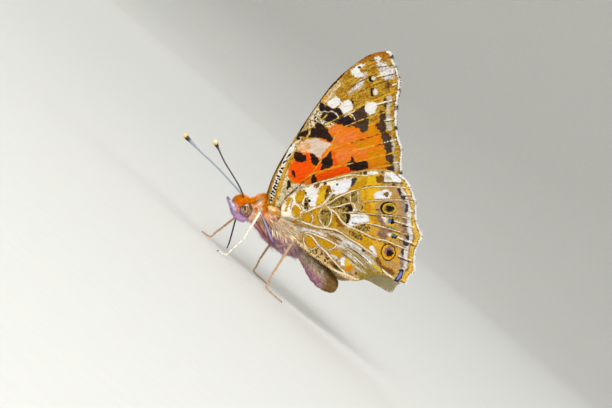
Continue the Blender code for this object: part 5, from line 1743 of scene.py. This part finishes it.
# Long silky hairs grow over the roots of the hindwings and lie back along them, and a tuft of
# orange and cream hair covers each forewing's hinge.
ROOT_HAIR_BOX = ((-0.5, 4.2), (-1.6, 0.1))  # back and up from the hindwing's hinge
ROOT_HAIRS = HINGE_HAIRS = 2600
HINGE_TUFT = np.array((-4.0, 2.2, 10.45))
HINGE_RADII = np.array((1.1, 0.4, 0.5))
ROOT_CREAM = shade(255, 250, 234)
draw = np.random.default_rng(81)
for (side, name), drop in zip(SIDES, (0.0, RIGHT_HINDWING_DROP)):
    flat = np.column_stack([draw.uniform(*across, ROOT_HAIRS) for across in ROOT_HAIR_BOX])
    ahead = 0.9 * ease(1.8, 0.8, flat[:, 0]) * draw.random(ROOT_HAIRS)
    inside = ring_distance(flat, hind_edge)[0] < ahead - 0.1
    from_root = np.hypot(flat[:, 0], flat[:, 1] + 0.5)
    flat = flat[inside & (draw.uniform(0.6, 4.6, ROOT_HAIRS) > from_root)]
    count = len(flat)
    back, up = turned_back(flat, drop).T
    y = side * (hindwing_spread(back, up) + WING_WALL / 2 + 0.02)
    roots = np.column_stack([HIND_HINGE[0] + back, y, HIND_HINGE[1] + up])
    lie = np.column_stack([np.ones(count), np.full(count, 0.14 * side), 0.16 + 0.12 * up])
    lie += draw.normal(0, 0.08, (count, 3))
    grain = draw.random(count)
    start = ease(0.6, -0.6, flat[:, 0])
    dark = (OLIVE_FUR, ease(0.28, 0.16, grain))
    tone = mixed(ROOT_CREAM, (HAIR_GOLD, ease(0.62, 0.85, grain)), dark, (TAN_FUR, 0.5 * start))
    tone[:, :3] *= draw.uniform(0.85, 1.6, (count, 1)) * (1 - 0.2 * start)[:, None]
    long = draw.uniform(1.0, 2.6, count)
    tufts(
        "wing_root_hair_" + name, roots, lie, (0, side, 0), long, 0.055 - 0.02 * start, tone,
        0.3 + 0.2 * side + flat * 0.02, fur_finish, "thorax_fur", droop=0.03,
    )
    ball = unit(draw.normal(0, 1, (HINGE_HAIRS, 3)))
    ball = ball[ball[:, 1] * side > -0.2]
    count = len(ball)
    roots = HINGE_TUFT * (1, side, 1) + ball * HINGE_RADII
    lie = np.column_stack([np.full(count, 0.95), np.full(count, 0.12 * side), np.full(count, 0.2)])
    lie += 0.12 * ball + draw.normal(0, 0.1, (count, 3))
    grain = draw.random(count)
    tone = mixed(HAIR_GOLD, (CREAM_FUR, ease(0.6, 0.75, grain)), (ORANGE_FUR, ease(0.25, 0.1, grain)))
    tone[:, :3] *= draw.uniform(0.75, 1.3, (count, 1))
    where = np.column_stack([0.5 + 0.2 * side + 0.03 * ball[:, 0], 0.7 + 0.03 * ball[:, 2]])
    tufts(
        "hinge_tuft_" + name, roots, lie, ball, draw.uniform(0.8, 1.6, count), 0.07,
        tone, where, fur_finish, "thorax_fur", droop=0.2,
    )

# The floor: plain, pale and matt, curving up far behind so that no edge shows, under large
# soft lights.
FLOOR_RADIUS = 0.9
CURVE_RADIUS = 0.5
CURVE_STEPS = 8
WALL_TOP = 1.4
FLOOR_TONE = shade(216, 216, 212)
FLOOR_SIDES = 96
bm = bmesh.new()
first = bm.verts.new((0, 0, 0))
turns = np.linspace(0, math.pi / 2, CURVE_STEPS + 1)
bend = [(FLOOR_RADIUS + CURVE_RADIUS * math.sin(t), CURVE_RADIUS * (1 - math.cos(t))) for t in turns]
bend.append((FLOOR_RADIUS + CURVE_RADIUS, WALL_TOP))
profile = [first] + [bm.verts.new((x, 0, z)) for x, z in bend]
for a, b in zip(profile, profile[1:]):
    bm.edges.new((a, b))
line = bm.verts[:] + bm.edges[:]
bmesh.ops.spin(
    bm, geom=line, cent=(0, 0, 0), axis=(0, 0, 1), angle=2 * math.pi, steps=FLOOR_SIDES, use_merge=True
)
bmesh.ops.remove_doubles(bm, verts=bm.verts, dist=1e-6)
bmesh.ops.recalc_face_normals(bm, faces=bm.faces)
floor_mesh = mesh_of(bm, "floor")
floor_mesh.shade_smooth()


def floor_finish(wire):
    grain = wire.noise(wire.place(), 3.0)
    return {"Base Color": (0.97 + 0.06 * grain).dim(FLOOR_TONE), "Roughness": 0.9}


floor_mesh.materials.append(finish("pale_floor", floor_finish))
floor = bpy.data.objects.new("floor", floor_mesh)
bpy.context.scene.collection.objects.link(floor)

SKY_COLOUR = (1.0, 0.99, 0.97, 1.0)
SKY_LIGHT = 0.55
KEY_LIGHT = 7.0
FILL_LIGHT = 2.0
world = bpy.data.worlds.new("studio")
world.use_nodes = True
sky = world.node_tree.nodes["Background"].inputs
sky["Color"].default_value = SKY_COLOUR
sky["Strength"].default_value = SKY_LIGHT
bpy.context.scene.world = world
bpy.context.scene.view_settings.view_transform = "Standard"
for name, power, size, place in (
    ("key", KEY_LIGHT, 0.5, (-0.35, -0.65, 0.6)),
    ("fill", FILL_LIGHT, 0.8, (0.7, -0.2, 0.55)),
    ("back", FILL_LIGHT, 0.8, (-0.1, 0.75, 0.5)),
):
    light = bpy.data.lights.new(name, "AREA")
    light.energy = power
    light.size = size
    lamp = bpy.data.objects.new(name, light)
    aim = Vector(AIM * MM) - Vector(place)
    lamp.matrix_world = Matrix.Translation(place) @ aim.to_track_quat("-Z", "Y").to_matrix().to_4x4()
    bpy.context.scene.collection.objects.link(lamp)
